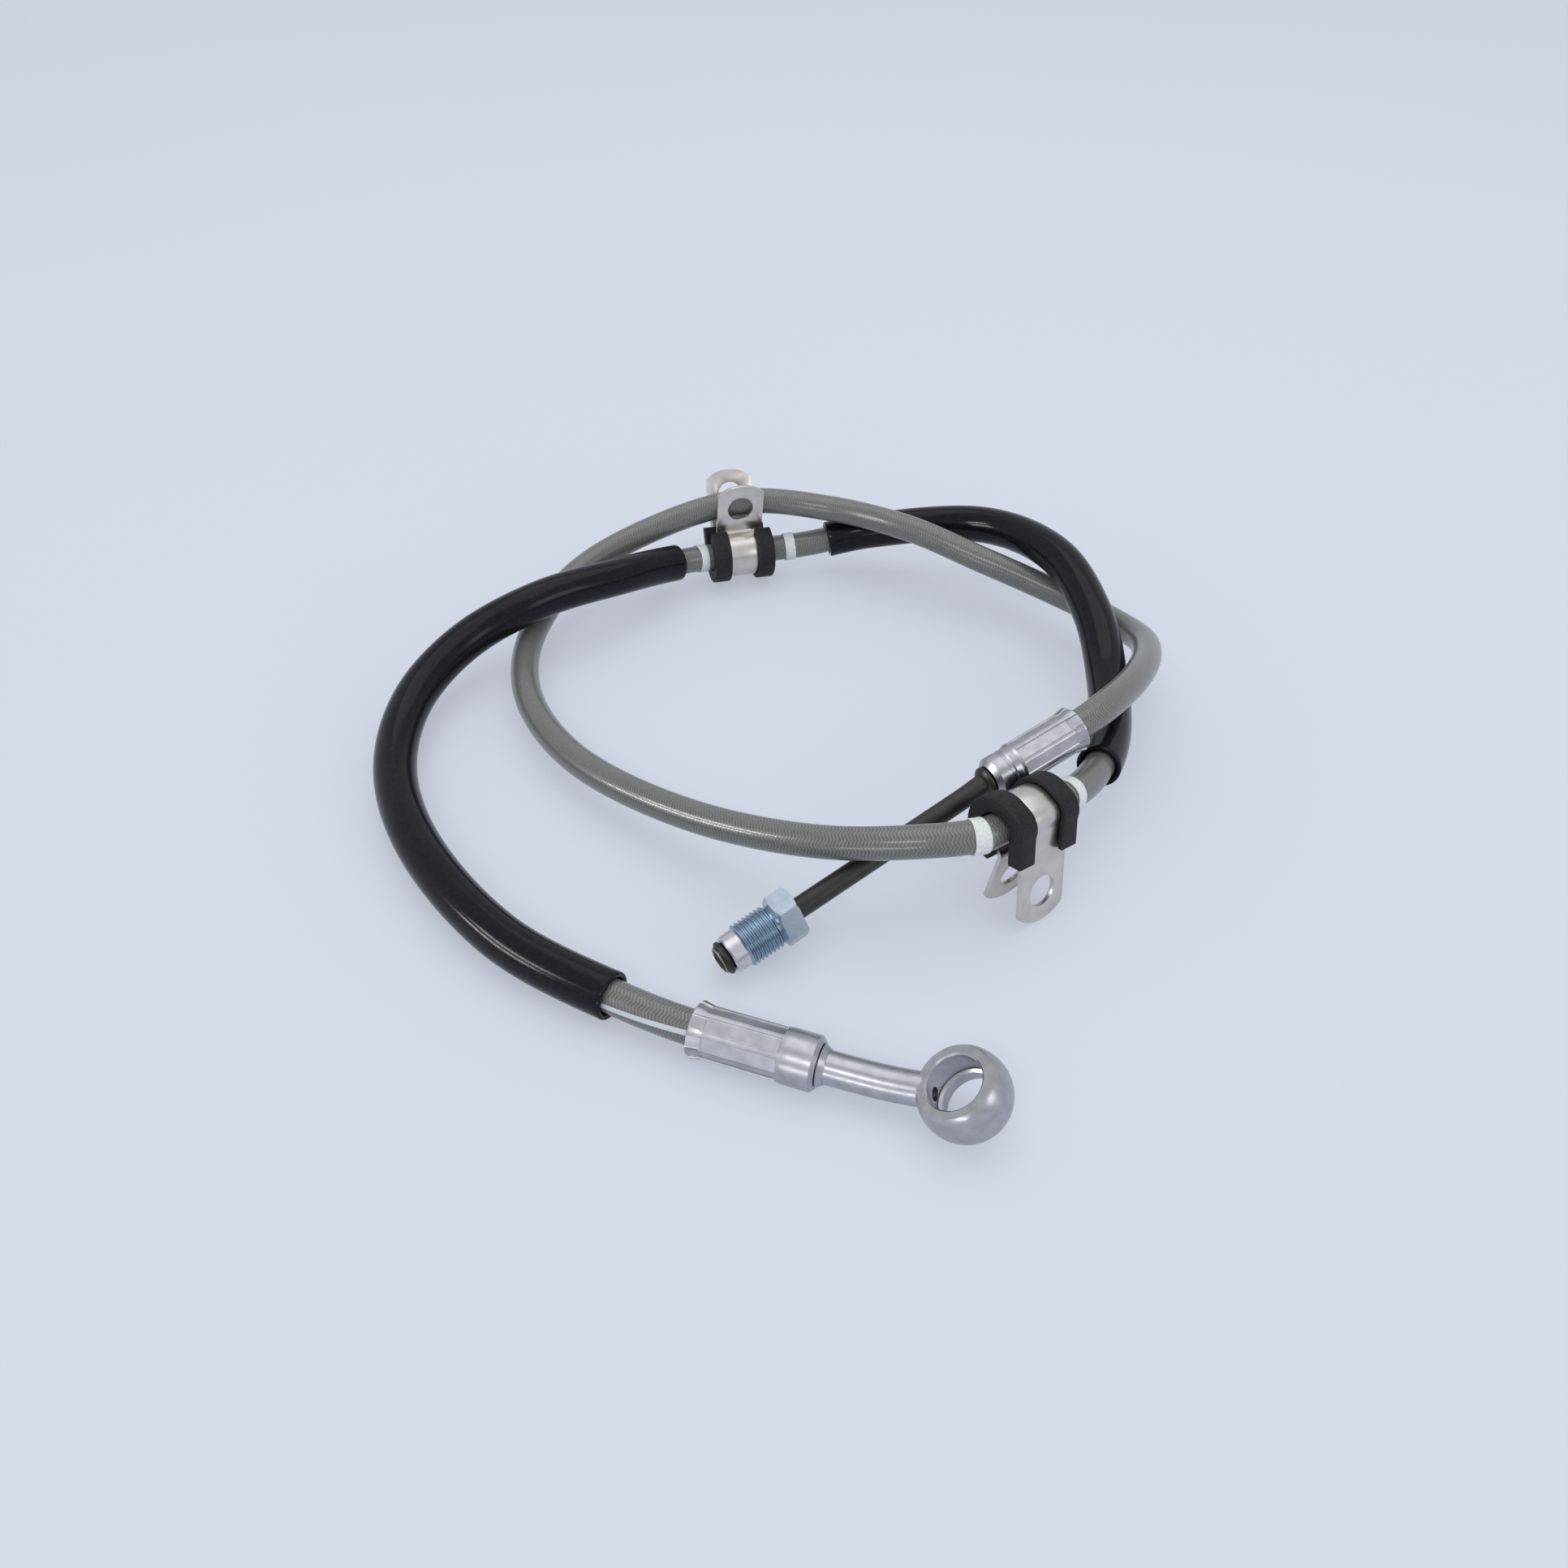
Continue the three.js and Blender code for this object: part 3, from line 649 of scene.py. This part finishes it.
def round_bar(name, points, radius, segments):
    """A round bar along a smooth line that is drawn by points in space."""
    start_clean()
    bar, line = add_line(name, "3D", "NURBS", points)
    bar.data.bevel_depth = 1
    bar.data.bevel_resolution = segments // 4 - 2
    bar.data.resolution_u = 10
    for point in line.points:
        point.radius = radius
    line.order_u = 3
    line.use_endpoint_u = True
    return curve_to_mesh(bar)


# Clamps

STRAP_WIDTH, STRAP_THICKNESS = 13.6, 1.0
LOOP_RADIUS, FOLD_DROP, FOLD_RADIUS, NECK_RADIUS = 6.0, 4.5, 2.9, 1.5
EAR_REACH, EAR_HOLE_HEIGHT, EAR_HOLE_RADIUS, EAR_END_RADIUS = 21.8, 14.3, 3.75, 10.0
SPLAY_HEIGHT, SPLAY_RADIUS, ROOT_HEIGHT = -1.5, 6.0, 9.0
# The cushion's section is a web between hose and strap, with a lip over each edge of the strap
CUSHION_TOP, CUSHION_WEB, CUSHION_PROUD, CUSHION_SLOT = 5.4, 1.8, 1.8, 0.62
CUSHION_HALF_WIDTH, CUSHION_SLOT_HALF, CUSHION_LIP_START = 8.9, 7.0, 4.1
# Angles in degrees: how far the leg and the ear splay, and the clamp's turn on the hose
CLAMPS = {
    "rear_clamp": {"leg": 26, "ear": 7, "turn": -2.5, "flip": False},
    "front_clamp": {"leg": 11, "ear": 8, "turn": 0, "flip": True},
}


def trace(start, heading, moves):
    """Points along straight runs (length,) and bends (radius, angle), and the last heading."""
    x, y = start
    angle = math.radians(heading)
    points = [(x, y)]
    for move in moves:
        if len(move) == 1:
            x += move[0] * math.cos(angle)
            y += move[0] * math.sin(angle)
            points.append((x, y))
            continue
        radius, turn = move
        steps = max(2, math.ceil(abs(turn) / 5))
        part = math.radians(turn) / steps
        for _ in range(steps):
            chord = 2 * radius * math.sin(abs(part) / 2)
            x += chord * math.cos(angle + part / 2)
            y += chord * math.sin(angle + part / 2)
            angle += part
            points.append((x, y))
    return points, angle


def clamp_line(lean, leg_height, end_moves):
    """The clamp's middle line in side view, from the leg's top round the loop.

    Also the headings at both ends.
    """
    corner = math.atan(FOLD_DROP / LOOP_RADIUS)
    trim = FOLD_RADIUS * math.tan(corner)
    fold = math.degrees(2 * corner)
    start = (LOOP_RADIUS, SPLAY_HEIGHT)
    run = leg_height - SPLAY_HEIGHT - SPLAY_RADIUS * math.radians(lean)
    leg, leg_heading = trace(start, 90, [(SPLAY_RADIUS, -lean), (run,)])
    loop, loop_heading = trace(start, -90, [
        (SPLAY_HEIGHT + FOLD_DROP - trim,), (FOLD_RADIUS, -fold), (FOLD_DROP - trim,),
        (LOOP_RADIUS, fold - 270), *end_moves,
    ])
    return leg[::-1] + loop[1:], leg_heading, loop_heading


def shape_ear(strap, root, heading, length):
    """Cuts the ear's round end and its bolt hole. root is the place at ROOT_HEIGHT."""
    x, y = root
    turn = Matrix.Translation((x, y, 0)) @ Matrix.Rotation(heading - math.pi / 2, 4, "Z")
    hole = rod("ear_hole", -3, 3, EAR_HOLE_RADIUS, segments=40)
    hole.data.transform(turn @ Matrix.Translation((0, EAR_HOLE_HEIGHT - ROOT_HEIGHT, 0)))
    combine(strap, hole, "DIFFERENCE")
    trim = box("ear_trim", (0, length, 0), (6, 8, 20))
    keep = rod("ear_round", -4, 4, EAR_END_RADIUS, segments=96)
    keep.data.transform(Matrix.Translation((0, length - EAR_END_RADIUS, 0)))
    combine(trim, keep, "DIFFERENCE")
    trim.data.transform(turn)
    combine(strap, trim, "DIFFERENCE")


def clamp_frame(name):
    """From the frame that a clamp's parts are drawn in to millimetres in the row frame."""
    low, high = clamp_chord(CLAMP_PLACES[name])
    matrix = frame_along((low + high) / 2, high - low)
    matrix = matrix @ Matrix.Rotation(math.radians(CLAMPS[name]["turn"]), 4, "Z")
    if CLAMPS[name]["flip"]:
        matrix = matrix @ Matrix.Rotation(math.pi, 4, "Y")
    # The bent pieces are drawn in the XY plane: their X, Y and Z are the clamp's Y, Z and X
    drawn = Matrix(((0, 0, 1, 0), (1, 0, 0, 0), (0, 1, 0, 0), (0, 0, 0, 1)))
    return matrix @ drawn


def make_clamp(name):
    lean, ear_lean = CLAMPS[name]["leg"], CLAMPS[name]["ear"]
    ear_length = EAR_REACH - ROOT_HEIGHT
    neck = [(NECK_RADIUS, 90 + ear_lean), (ROOT_HEIGHT - LOOP_RADIUS - NECK_RADIUS,)]
    roots, leg_heading, ear_heading = clamp_line(lean, ROOT_HEIGHT, neck)
    points, _, _ = clamp_line(lean, EAR_REACH, neck + [(ear_length,)])
    half, thick = STRAP_WIDTH / 2, STRAP_THICKNESS / 2
    outline = [(-thick, -half), (thick, -half), (thick, half), (-thick, half)]
    strap = bent_bar(f"{name}_band", points, outline)
    shape_ear(strap, roots[0], leg_heading, ear_length)
    shape_ear(strap, roots[-1], ear_heading, ear_length)
    ease_edges(strap, width=0.14, segments=2, angle=50)
    place_piece(strap, clamp_frame(name), smooth_angle=30)
    finish_piece(strap, STRAP, "clamp_steel", f"{name}_strap")

    loop, _, _ = clamp_line(lean, CUSHION_TOP, [])
    half_channel = [
        (CUSHION_WEB, -CUSHION_HALF_WIDTH), (-CUSHION_PROUD, -CUSHION_HALF_WIDTH),
        (-CUSHION_PROUD, -CUSHION_LIP_START), (-CUSHION_SLOT, -CUSHION_LIP_START),
        (-CUSHION_SLOT, -CUSHION_SLOT_HALF), (CUSHION_SLOT, -CUSHION_SLOT_HALF),
    ]
    channel = half_channel + [(x, -y) for x, y in reversed(half_channel)]
    cushion = bent_bar(f"{name}_rubber", loop, channel)
    ease_edges(cushion, width=0.3, segments=3, angle=50)
    place_piece(cushion, clamp_frame(name), smooth_angle=40)
    finish_piece(cushion, RUBBER, "clamp_rubber", f"{name}_cushion")


for clamp_name in CLAMPS:
    make_clamp(clamp_name)


# Ferrules

# Lip, crimp, flat, collar and hole are radii, groove is a depth, the others are lengths along
FERRULES = {
    "banjo_ferrule": {
        "mouth": BANJO_MOUTH, "axis": BANJO_AXIS, "lip": 5.85, "crimp": 5.38, "flat": 4.78,
        "crimp_end": 18.8, "collar": 5.6, "groove": 0.0, "length": 26, "chamfer": 0.8, "hole": 3.8,
    },
    "pipe_ferrule": {
        "mouth": PIPE_MOUTH, "axis": PIPE_AXIS, "lip": 5.45, "crimp": 5.05, "flat": 4.52,
        "crimp_end": 17.6, "collar": 4.75, "groove": 0.4, "length": 24.7, "chamfer": 1.1,
        "hole": 2.9,
    },
}
FERRULE_BORE, CAVITY_DEPTH, FLATS, FLATS_START = 4.05, 19.5, 8, 2.4
LOBE_WIDTH, LIP_LOBE_WIDTH, LIP_SLOPE = 0.75, 1.1, 0.2


def make_ferrule(name):
    f = FERRULES[name]
    lip, end, crimp, collar, length = (
        f[key] for key in ("lip", "crimp_end", "crimp", "collar", "length"))
    groove_at = end + 2
    shell = turned(f"{name}_shell", [
        (0, FERRULE_BORE), (0, lip - 0.3), (0.3, lip), (0.7, lip), (1.5, lip - 0.2),
        (2.3, crimp + 0.12), (3, crimp), (end - 0.9, crimp), (end - 0.2, crimp + 0.1),
        (end + 0.4, collar - 0.05), (end + 0.8, collar), (groove_at, collar),
        (groove_at + 0.3, collar - f["groove"]), (groove_at + 1, collar - f["groove"]),
        (groove_at + 1.3, collar), (length - f["chamfer"], collar),
        (length - 0.15, collar - f["chamfer"] + 0.1), (length, collar - f["chamfer"] - 0.05),
        (length, f["hole"]), (CAVITY_DEPTH, f["hole"]), (CAVITY_DEPTH, FERRULE_BORE),
        (0, FERRULE_BORE),
    ], segments=96)
    flat_length = end - 2.6
    panel = 2 * f["flat"] * math.tan(math.pi / FLATS)
    for i in range(FLATS):
        turn = Matrix.Rotation((i + 0.5) * 2 * math.pi / FLATS, 4, "X")
        die = box("crimp_die", (FLATS_START + flat_length / 2, 0, f["flat"] + 1),
                  (flat_length, panel - LOBE_WIDTH, 2))
        ease_edges(die, width=0.3, segments=3)
        die.data.transform(turn)
        combine(shell, die, "DIFFERENCE")
        notch = box("lip_notch", (0.6, 0, 1), (4.4, panel - LIP_LOBE_WIDTH, 2))
        ease_edges(notch, width=0.3, segments=2)
        lifted = Matrix.Translation((0.4, 0, lip - 0.65)) @ Matrix.Rotation(LIP_SLOPE, 4, "Y")
        notch.data.transform(turn @ lifted)
        combine(shell, notch, "DIFFERENCE")
    place_piece(shell, frame_along(f["mouth"], f["axis"]), smooth_angle=9)
    finish_piece(shell, ZINC, "zinc_plate", name)


for ferrule_name in FERRULES:
    make_ferrule(ferrule_name)

NIPPLE_RADIUS, NIPPLE_BORE, NIPPLE_TIP, SHOULDER_AT = 1.2, 0.75, 2, HELD_LENGTH + 0.35
BARBS, BARB_PITCH = 4, 3.5


def nipple_rings(shoulder, end):
    """The barbed nipple's rings from its tip to the shoulder's end and back through the bore."""
    rings = [(NIPPLE_TIP, NIPPLE_BORE), (NIPPLE_TIP, NIPPLE_RADIUS - 0.2)]
    for i in range(BARBS):
        rings += [(NIPPLE_TIP + (i + 0.7) * BARB_PITCH, NIPPLE_RADIUS),
                  (NIPPLE_TIP + (i + 0.72) * BARB_PITCH, NIPPLE_RADIUS - 0.12)]
    return rings + [(SHOULDER_AT, NIPPLE_RADIUS), (SHOULDER_AT, shoulder), (end, shoulder),
                    (end, NIPPLE_BORE), (NIPPLE_TIP, NIPPLE_BORE)]


# Banjo fitting

EYE_CENTRE = Vector((11.3, -101.1, 8.25))
EYE_AXIS = Vector((-0.498, -0.084, 0.863)).normalized()
BALL, HALF_EYE, EYE_BORE, EYE_CHAMFER, EYE_EDGE = 9.15, 5.03, 5.65, 0.35, 0.12
# A wider ring inside the bore
RECESS_HALF, RECESS_RADIUS = 1.9, EYE_BORE + 0.65
NECK_POINTS = [(-8.3, -94.7, 5.6), (-0.8, -97.1, 5.6), (5.7, -99.2, 6.7)]
BANJO_NECK_RADIUS, FLANGE_RADIUS, DRILL_RADIUS = 3.4, 4.35, 1.35


def make_banjo():
    f = FERRULES["banjo_ferrule"]
    length = f["length"]
    ferrule_place = frame_along(f["mouth"], f["axis"])
    eye_place = frame_along(EYE_CENTRE, EYE_AXIS, BANJO_AXIS)
    face = math.asin(HALF_EYE / BALL)
    angles = [-face + 2 * face * k / 20 for k in range(21)]
    ball = [(BALL * math.sin(a), BALL * math.cos(a)) for a in angles]
    ball[0] = (ball[0][0], ball[0][1] - EYE_EDGE)
    ball[-1] = (ball[-1][0], ball[-1][1] - EYE_EDGE)
    rim = EYE_BORE + EYE_CHAMFER
    eye = turned("banjo_eye", [
        *ball, (HALF_EYE, rim), (HALF_EYE - EYE_CHAMFER, EYE_BORE),
        (RECESS_HALF + 0.3, EYE_BORE), (RECESS_HALF, RECESS_RADIUS),
        (-RECESS_HALF, RECESS_RADIUS), (-RECESS_HALF - 0.3, EYE_BORE),
        (-HALF_EYE + EYE_CHAMFER, EYE_BORE), (-HALF_EYE, rim), ball[0],
    ], segments=96)
    eye.data.transform(eye_place)
    start = f["mouth"] + f["axis"] * (length - 3)
    leave = f["mouth"] + f["axis"] * (length + 3)
    neck = round_bar("banjo_neck", [start, leave, *NECK_POINTS], BANJO_NECK_RADIUS, segments=40)
    bore_plug = rod("bore_plug", -HALF_EYE, HALF_EYE, EYE_BORE + 0.75, segments=64)
    bore_plug.data.transform(eye_place)
    combine(neck, bore_plug, "DIFFERENCE")
    combine(eye, neck, "UNION")
    flange_start = length + 0.15
    flange = turned("banjo_flange", [
        (flange_start, 0), (flange_start, FLANGE_RADIUS - 0.1),
        (flange_start + 0.15, FLANGE_RADIUS), (flange_start + 0.5, FLANGE_RADIUS - 0.25),
        (flange_start + 1.3, 3.6), (flange_start + 1.3, 0),
    ], segments=64)
    flange.data.transform(ferrule_place)
    combine(eye, flange, "UNION")
    nipple = turned("banjo_nipple", nipple_rings(BANJO_NECK_RADIUS, length - 1), segments=32)
    nipple.data.transform(ferrule_place)
    combine(eye, nipple, "UNION")
    entry = Vector(NECK_POINTS[1]) - EYE_CENTRE
    entry = (entry - EYE_AXIS * entry.dot(EYE_AXIS)).normalized()
    drill = rod("banjo_drill", 0, 11.5, DRILL_RADIUS, segments=32)
    drill.data.transform(frame_along(EYE_CENTRE, entry))
    combine(eye, drill, "DIFFERENCE")
    place_piece(eye, Matrix.Identity(4), smooth_angle=35)
    finish_piece(eye, ZINC, "zinc_plate", "banjo_fitting")


make_banjo()

# Pipe end

PIPE_RADIUS, PIPE_BORE, BEAD_RADIUS, FLARE_RADIUS, FLARE_LENGTH = 2.375, 1.5, 3.5, 3.8, 2.1
NUT_BORE, NUT_NOSE, THREAD_CREST, THREAD_ROOT, THREAD_PITCH = 2.75, 4.3, 4.95, 4.5, 1.0
THREAD_TURNS, THREAD_LENGTH, HEXAGON_LENGTH, HEXAGON_HALF, HEXAGON_TURN = 8, 9, 5.2, 5.5, 11
PIPE_END = Vector((-36, -64.9, 4.8))
PIPE_BEND = Vector((18.1, -30.2, 20.6))
PIPE_LINE = (PIPE_BEND - PIPE_END).normalized()


def make_insert():
    f = FERRULES["pipe_ferrule"]
    insert = turned("pipe_nipple", nipple_rings(f["hole"] - 0.35, f["length"] - 1.6), segments=32)
    place_piece(insert, frame_along(f["mouth"], f["axis"]), smooth_angle=30)
    finish_piece(insert, ZINC, "zinc_plate", "pipe_insert")


def make_pipe():
    f = FERRULES["pipe_ferrule"]
    start = PIPE_MOUTH + PIPE_AXIS * (f["length"] - 1.2)
    outside = PIPE_MOUTH + PIPE_AXIS * (f["length"] + 1.5)
    straight = PIPE_BEND - PIPE_LINE * 7
    line = [start, outside, PIPE_BEND, straight, PIPE_END + PIPE_LINE * 1.5]
    tube = round_bar("pipe_tube", line, PIPE_RADIUS, segments=40)
    flare = turned("pipe_flare", [
        (0.5, 0), (0.5, PIPE_BORE), (0.05, 1.7), (0.0, 2.0), (0.2, 2.1), (0.4, 2.15),
        (0.4, 2.65), (0.25, 2.75), (0.35, 2.95), (0.6, 3.05), (0.8, 3.2),
        (1.1, FLARE_RADIUS - 0.1), (1.3, FLARE_RADIUS),
        (FLARE_LENGTH - 0.3, FLARE_RADIUS), (FLARE_LENGTH, FLARE_RADIUS - 0.3),
        (FLARE_LENGTH + 0.6, PIPE_RADIUS), (FLARE_LENGTH + 3, PIPE_RADIUS), (FLARE_LENGTH + 3, 0),
    ], segments=64)
    flare.data.transform(frame_along(PIPE_END, PIPE_LINE))
    combine(tube, flare, "UNION")
    bead_start = f["length"] + 0.3
    bead = turned("pipe_bead", [
        (bead_start, 0), (bead_start, BEAD_RADIUS - 0.2), (bead_start + 0.2, BEAD_RADIUS),
        (bead_start + 0.7, BEAD_RADIUS), (bead_start + 1.2, BEAD_RADIUS - 0.4),
        (bead_start + 1.6, PIPE_RADIUS), (bead_start + 1.6, 0),
    ], segments=64)
    bead.data.transform(frame_along(PIPE_MOUTH, PIPE_AXIS))
    combine(tube, bead, "UNION")
    hole = rod("pipe_hole", -1, 30, PIPE_BORE - 0.02, segments=32)
    hole.data.transform(frame_along(PIPE_END, PIPE_LINE))
    combine(tube, hole, "DIFFERENCE")
    place_piece(tube, Matrix.Identity(4), smooth_angle=35)

    def bare_rings(x, r):
        """The flare's front edge is worn bright, and its seat a little."""
        return 0.9 if x < 0.5 and 2.7 < r < 3 else 0.4 if x < 0.2 and 1.6 < r < 1.8 else 0.0

    set_tones(tube, frame_along(PIPE_END, PIPE_LINE), bare_rings)
    finish_piece(tube, PIPE, "coated_pipe", "brake_pipe")


def make_nut():
    """Tube nut: a plain nose, a fine thread cut as grooves, a relief and a chamfered hexagon."""
    start = FLARE_LENGTH + 0.3
    thread_start = start + 3.2
    thread_end = thread_start + THREAD_LENGTH
    rings = [(start, NUT_BORE), (start, NUT_NOSE - 0.35), (start + 0.35, NUT_NOSE),
             (thread_start, NUT_NOSE)]
    for i in range(THREAD_TURNS):
        x = thread_start + 0.1 + i * THREAD_PITCH
        rings += [(x + 0.1, THREAD_ROOT), (x + 0.44, THREAD_CREST),
                  (x + 0.58, THREAD_CREST), (x + 0.92, THREAD_ROOT)]
    rings += [(thread_end - 0.5, NUT_NOSE), (thread_end + 0.6, NUT_NOSE),
              (thread_end + 0.6, NUT_BORE), (start, NUT_BORE)]
    body = turned("tube_nut_body", rings, segments=96)
    end = thread_end + HEXAGON_LENGTH
    corner = HEXAGON_HALF / math.cos(math.pi / 6)
    hexagon = turned("tube_nut_hexagon", [
        (thread_end, NUT_BORE), (thread_end, corner), (end, corner), (end, NUT_BORE),
        (thread_end, NUT_BORE),
    ], segments=6, start_angle=math.radians(HEXAGON_TURN))
    split_faces(hexagon)
    inner = rod("hexagon_bore", thread_end - 1, end + 1, NUT_BORE, segments=96)
    combine(hexagon, inner, "DIFFERENCE")
    shape = turned("hexagon_turning", [
        (thread_end, 0), (thread_end, HEXAGON_HALF - 0.15), (thread_end + 0.6, corner),
        (end - 0.6, corner), (end, HEXAGON_HALF - 0.15), (end, 0),
    ], segments=96)
    combine(hexagon, shape, "INTERSECT")
    combine(hexagon, body, "UNION")
    place_piece(hexagon, frame_along(PIPE_END, PIPE_LINE), smooth_angle=24)

    def nut_tones(x, _):
        """1 on the plain nose, 0 on the thread and 0.5 on the hexagon."""
        return 1.0 if x < thread_start + 0.15 else 0.0 if x < thread_end - 0.3 else 0.5

    set_tones(hexagon, frame_along(PIPE_END, PIPE_LINE), nut_tones)
    finish_piece(hexagon, NUT_ZINC, "blue_zinc_plate", "tube_nut", body="nut_body")


make_insert()
make_pipe()
make_nut()

# Floor, lamps and background

FLOOR_SIZE, FLOOR_GLOW = 24, (0.7, 0.735, 0.83, 1)
start_clean()
bpy.ops.mesh.primitive_plane_add(size=FLOOR_SIZE, location=(0, 0, 0))
floor = bpy.context.object
floor.name = "floor"
floor_paint = new_finish("floor_paint", (0.66, 0.7, 0.8), 0.0, 0.6)
colour_from(floor_paint, object_noise(floor_paint, 3, 2), [
    (0.3, (0.655, 0.695, 0.79)), (0.7, (0.67, 0.705, 0.805)),
])
shader_of(floor_paint).inputs["Specular IOR Level"].default_value = 0.1

# To camera, glossy and transmission rays half of the floor's light is a pale colour of its own
rays = add_node(floor_paint, "ShaderNodeLightPath")
seen = add_node(floor_paint, "ShaderNodeMath", {"operation": "MAXIMUM"})
join(floor_paint, rays, "Is Camera Ray", seen, 0)
join(floor_paint, rays, "Is Glossy Ray", seen, 1)
seen_or_through = add_node(floor_paint, "ShaderNodeMath", {"operation": "MAXIMUM"})
join(floor_paint, seen, "Value", seen_or_through, 0)
join(floor_paint, rays, "Is Transmission Ray", seen_or_through, 1)
half = add_node(floor_paint, "ShaderNodeMath", {"operation": "MULTIPLY"})
join(floor_paint, seen_or_through, "Value", half, 0)
half.inputs[1].default_value = 0.5
glow = add_node(floor_paint, "ShaderNodeEmission", Color=FLOOR_GLOW, Strength=1)
mixed_floor = add_node(floor_paint, "ShaderNodeMixShader")
join(floor_paint, half, "Value", mixed_floor, 0)
join(floor_paint, shader_of(floor_paint), "BSDF", mixed_floor, 1)
join(floor_paint, glow, "Emission", mixed_floor, 2)
surface = floor_paint.node_tree.nodes["Material Output"]
join(floor_paint, mixed_floor, "Shader", surface, "Surface")
floor.data.materials.append(floor_paint)

world = bpy.data.worlds.new("studio")
bpy.context.scene.world = world
world.use_nodes = True
world.node_tree.nodes["Background"].inputs["Color"].default_value = (0.95, 0.975, 1.02, 1)
world.node_tree.nodes["Background"].inputs["Strength"].default_value = 0.7


def add_lamp(name, location, width, height, power):
    """A rectangular lamp that faces the origin."""
    data = bpy.data.lights.new(name, "AREA")
    data.shape = "RECTANGLE"
    data.size = width
    data.size_y = height
    data.energy = power
    lamp = bpy.data.objects.new(name, data)
    bpy.context.collection.objects.link(lamp)
    lamp.location = location
    lamp.rotation_euler = (-Vector(location)).to_track_quat("-Z", "Y").to_euler()
    return lamp


add_lamp("softbox_above", (0.05, 0.3, 1.1), 1.1, 1.1, 3.2)
add_lamp("softbox_front", (-0.38, -1.03, 1.02), 0.6, 0.16, 2.6)
add_lamp("softbox_right", (0.95, -0.62, 0.5), 0.45, 0.45, 1.4)
# The strips only make highlights
for name, location, width, height, power in (
    ("strip_low", (-0.5, -1.4, 0.1), 0.9, 0.1, 2.4),
    ("strip_left_1", (-1.1, -0.3, 0.58), 0.5, 0.05, 3.0),
    ("strip_left_2", (-1.1, -0.3, 0.3), 0.5, 0.05, 3.0),
):
    add_lamp(name, location, width, height, power).visible_diffuse = False

bpy.context.scene.view_settings.view_transform = "Standard"
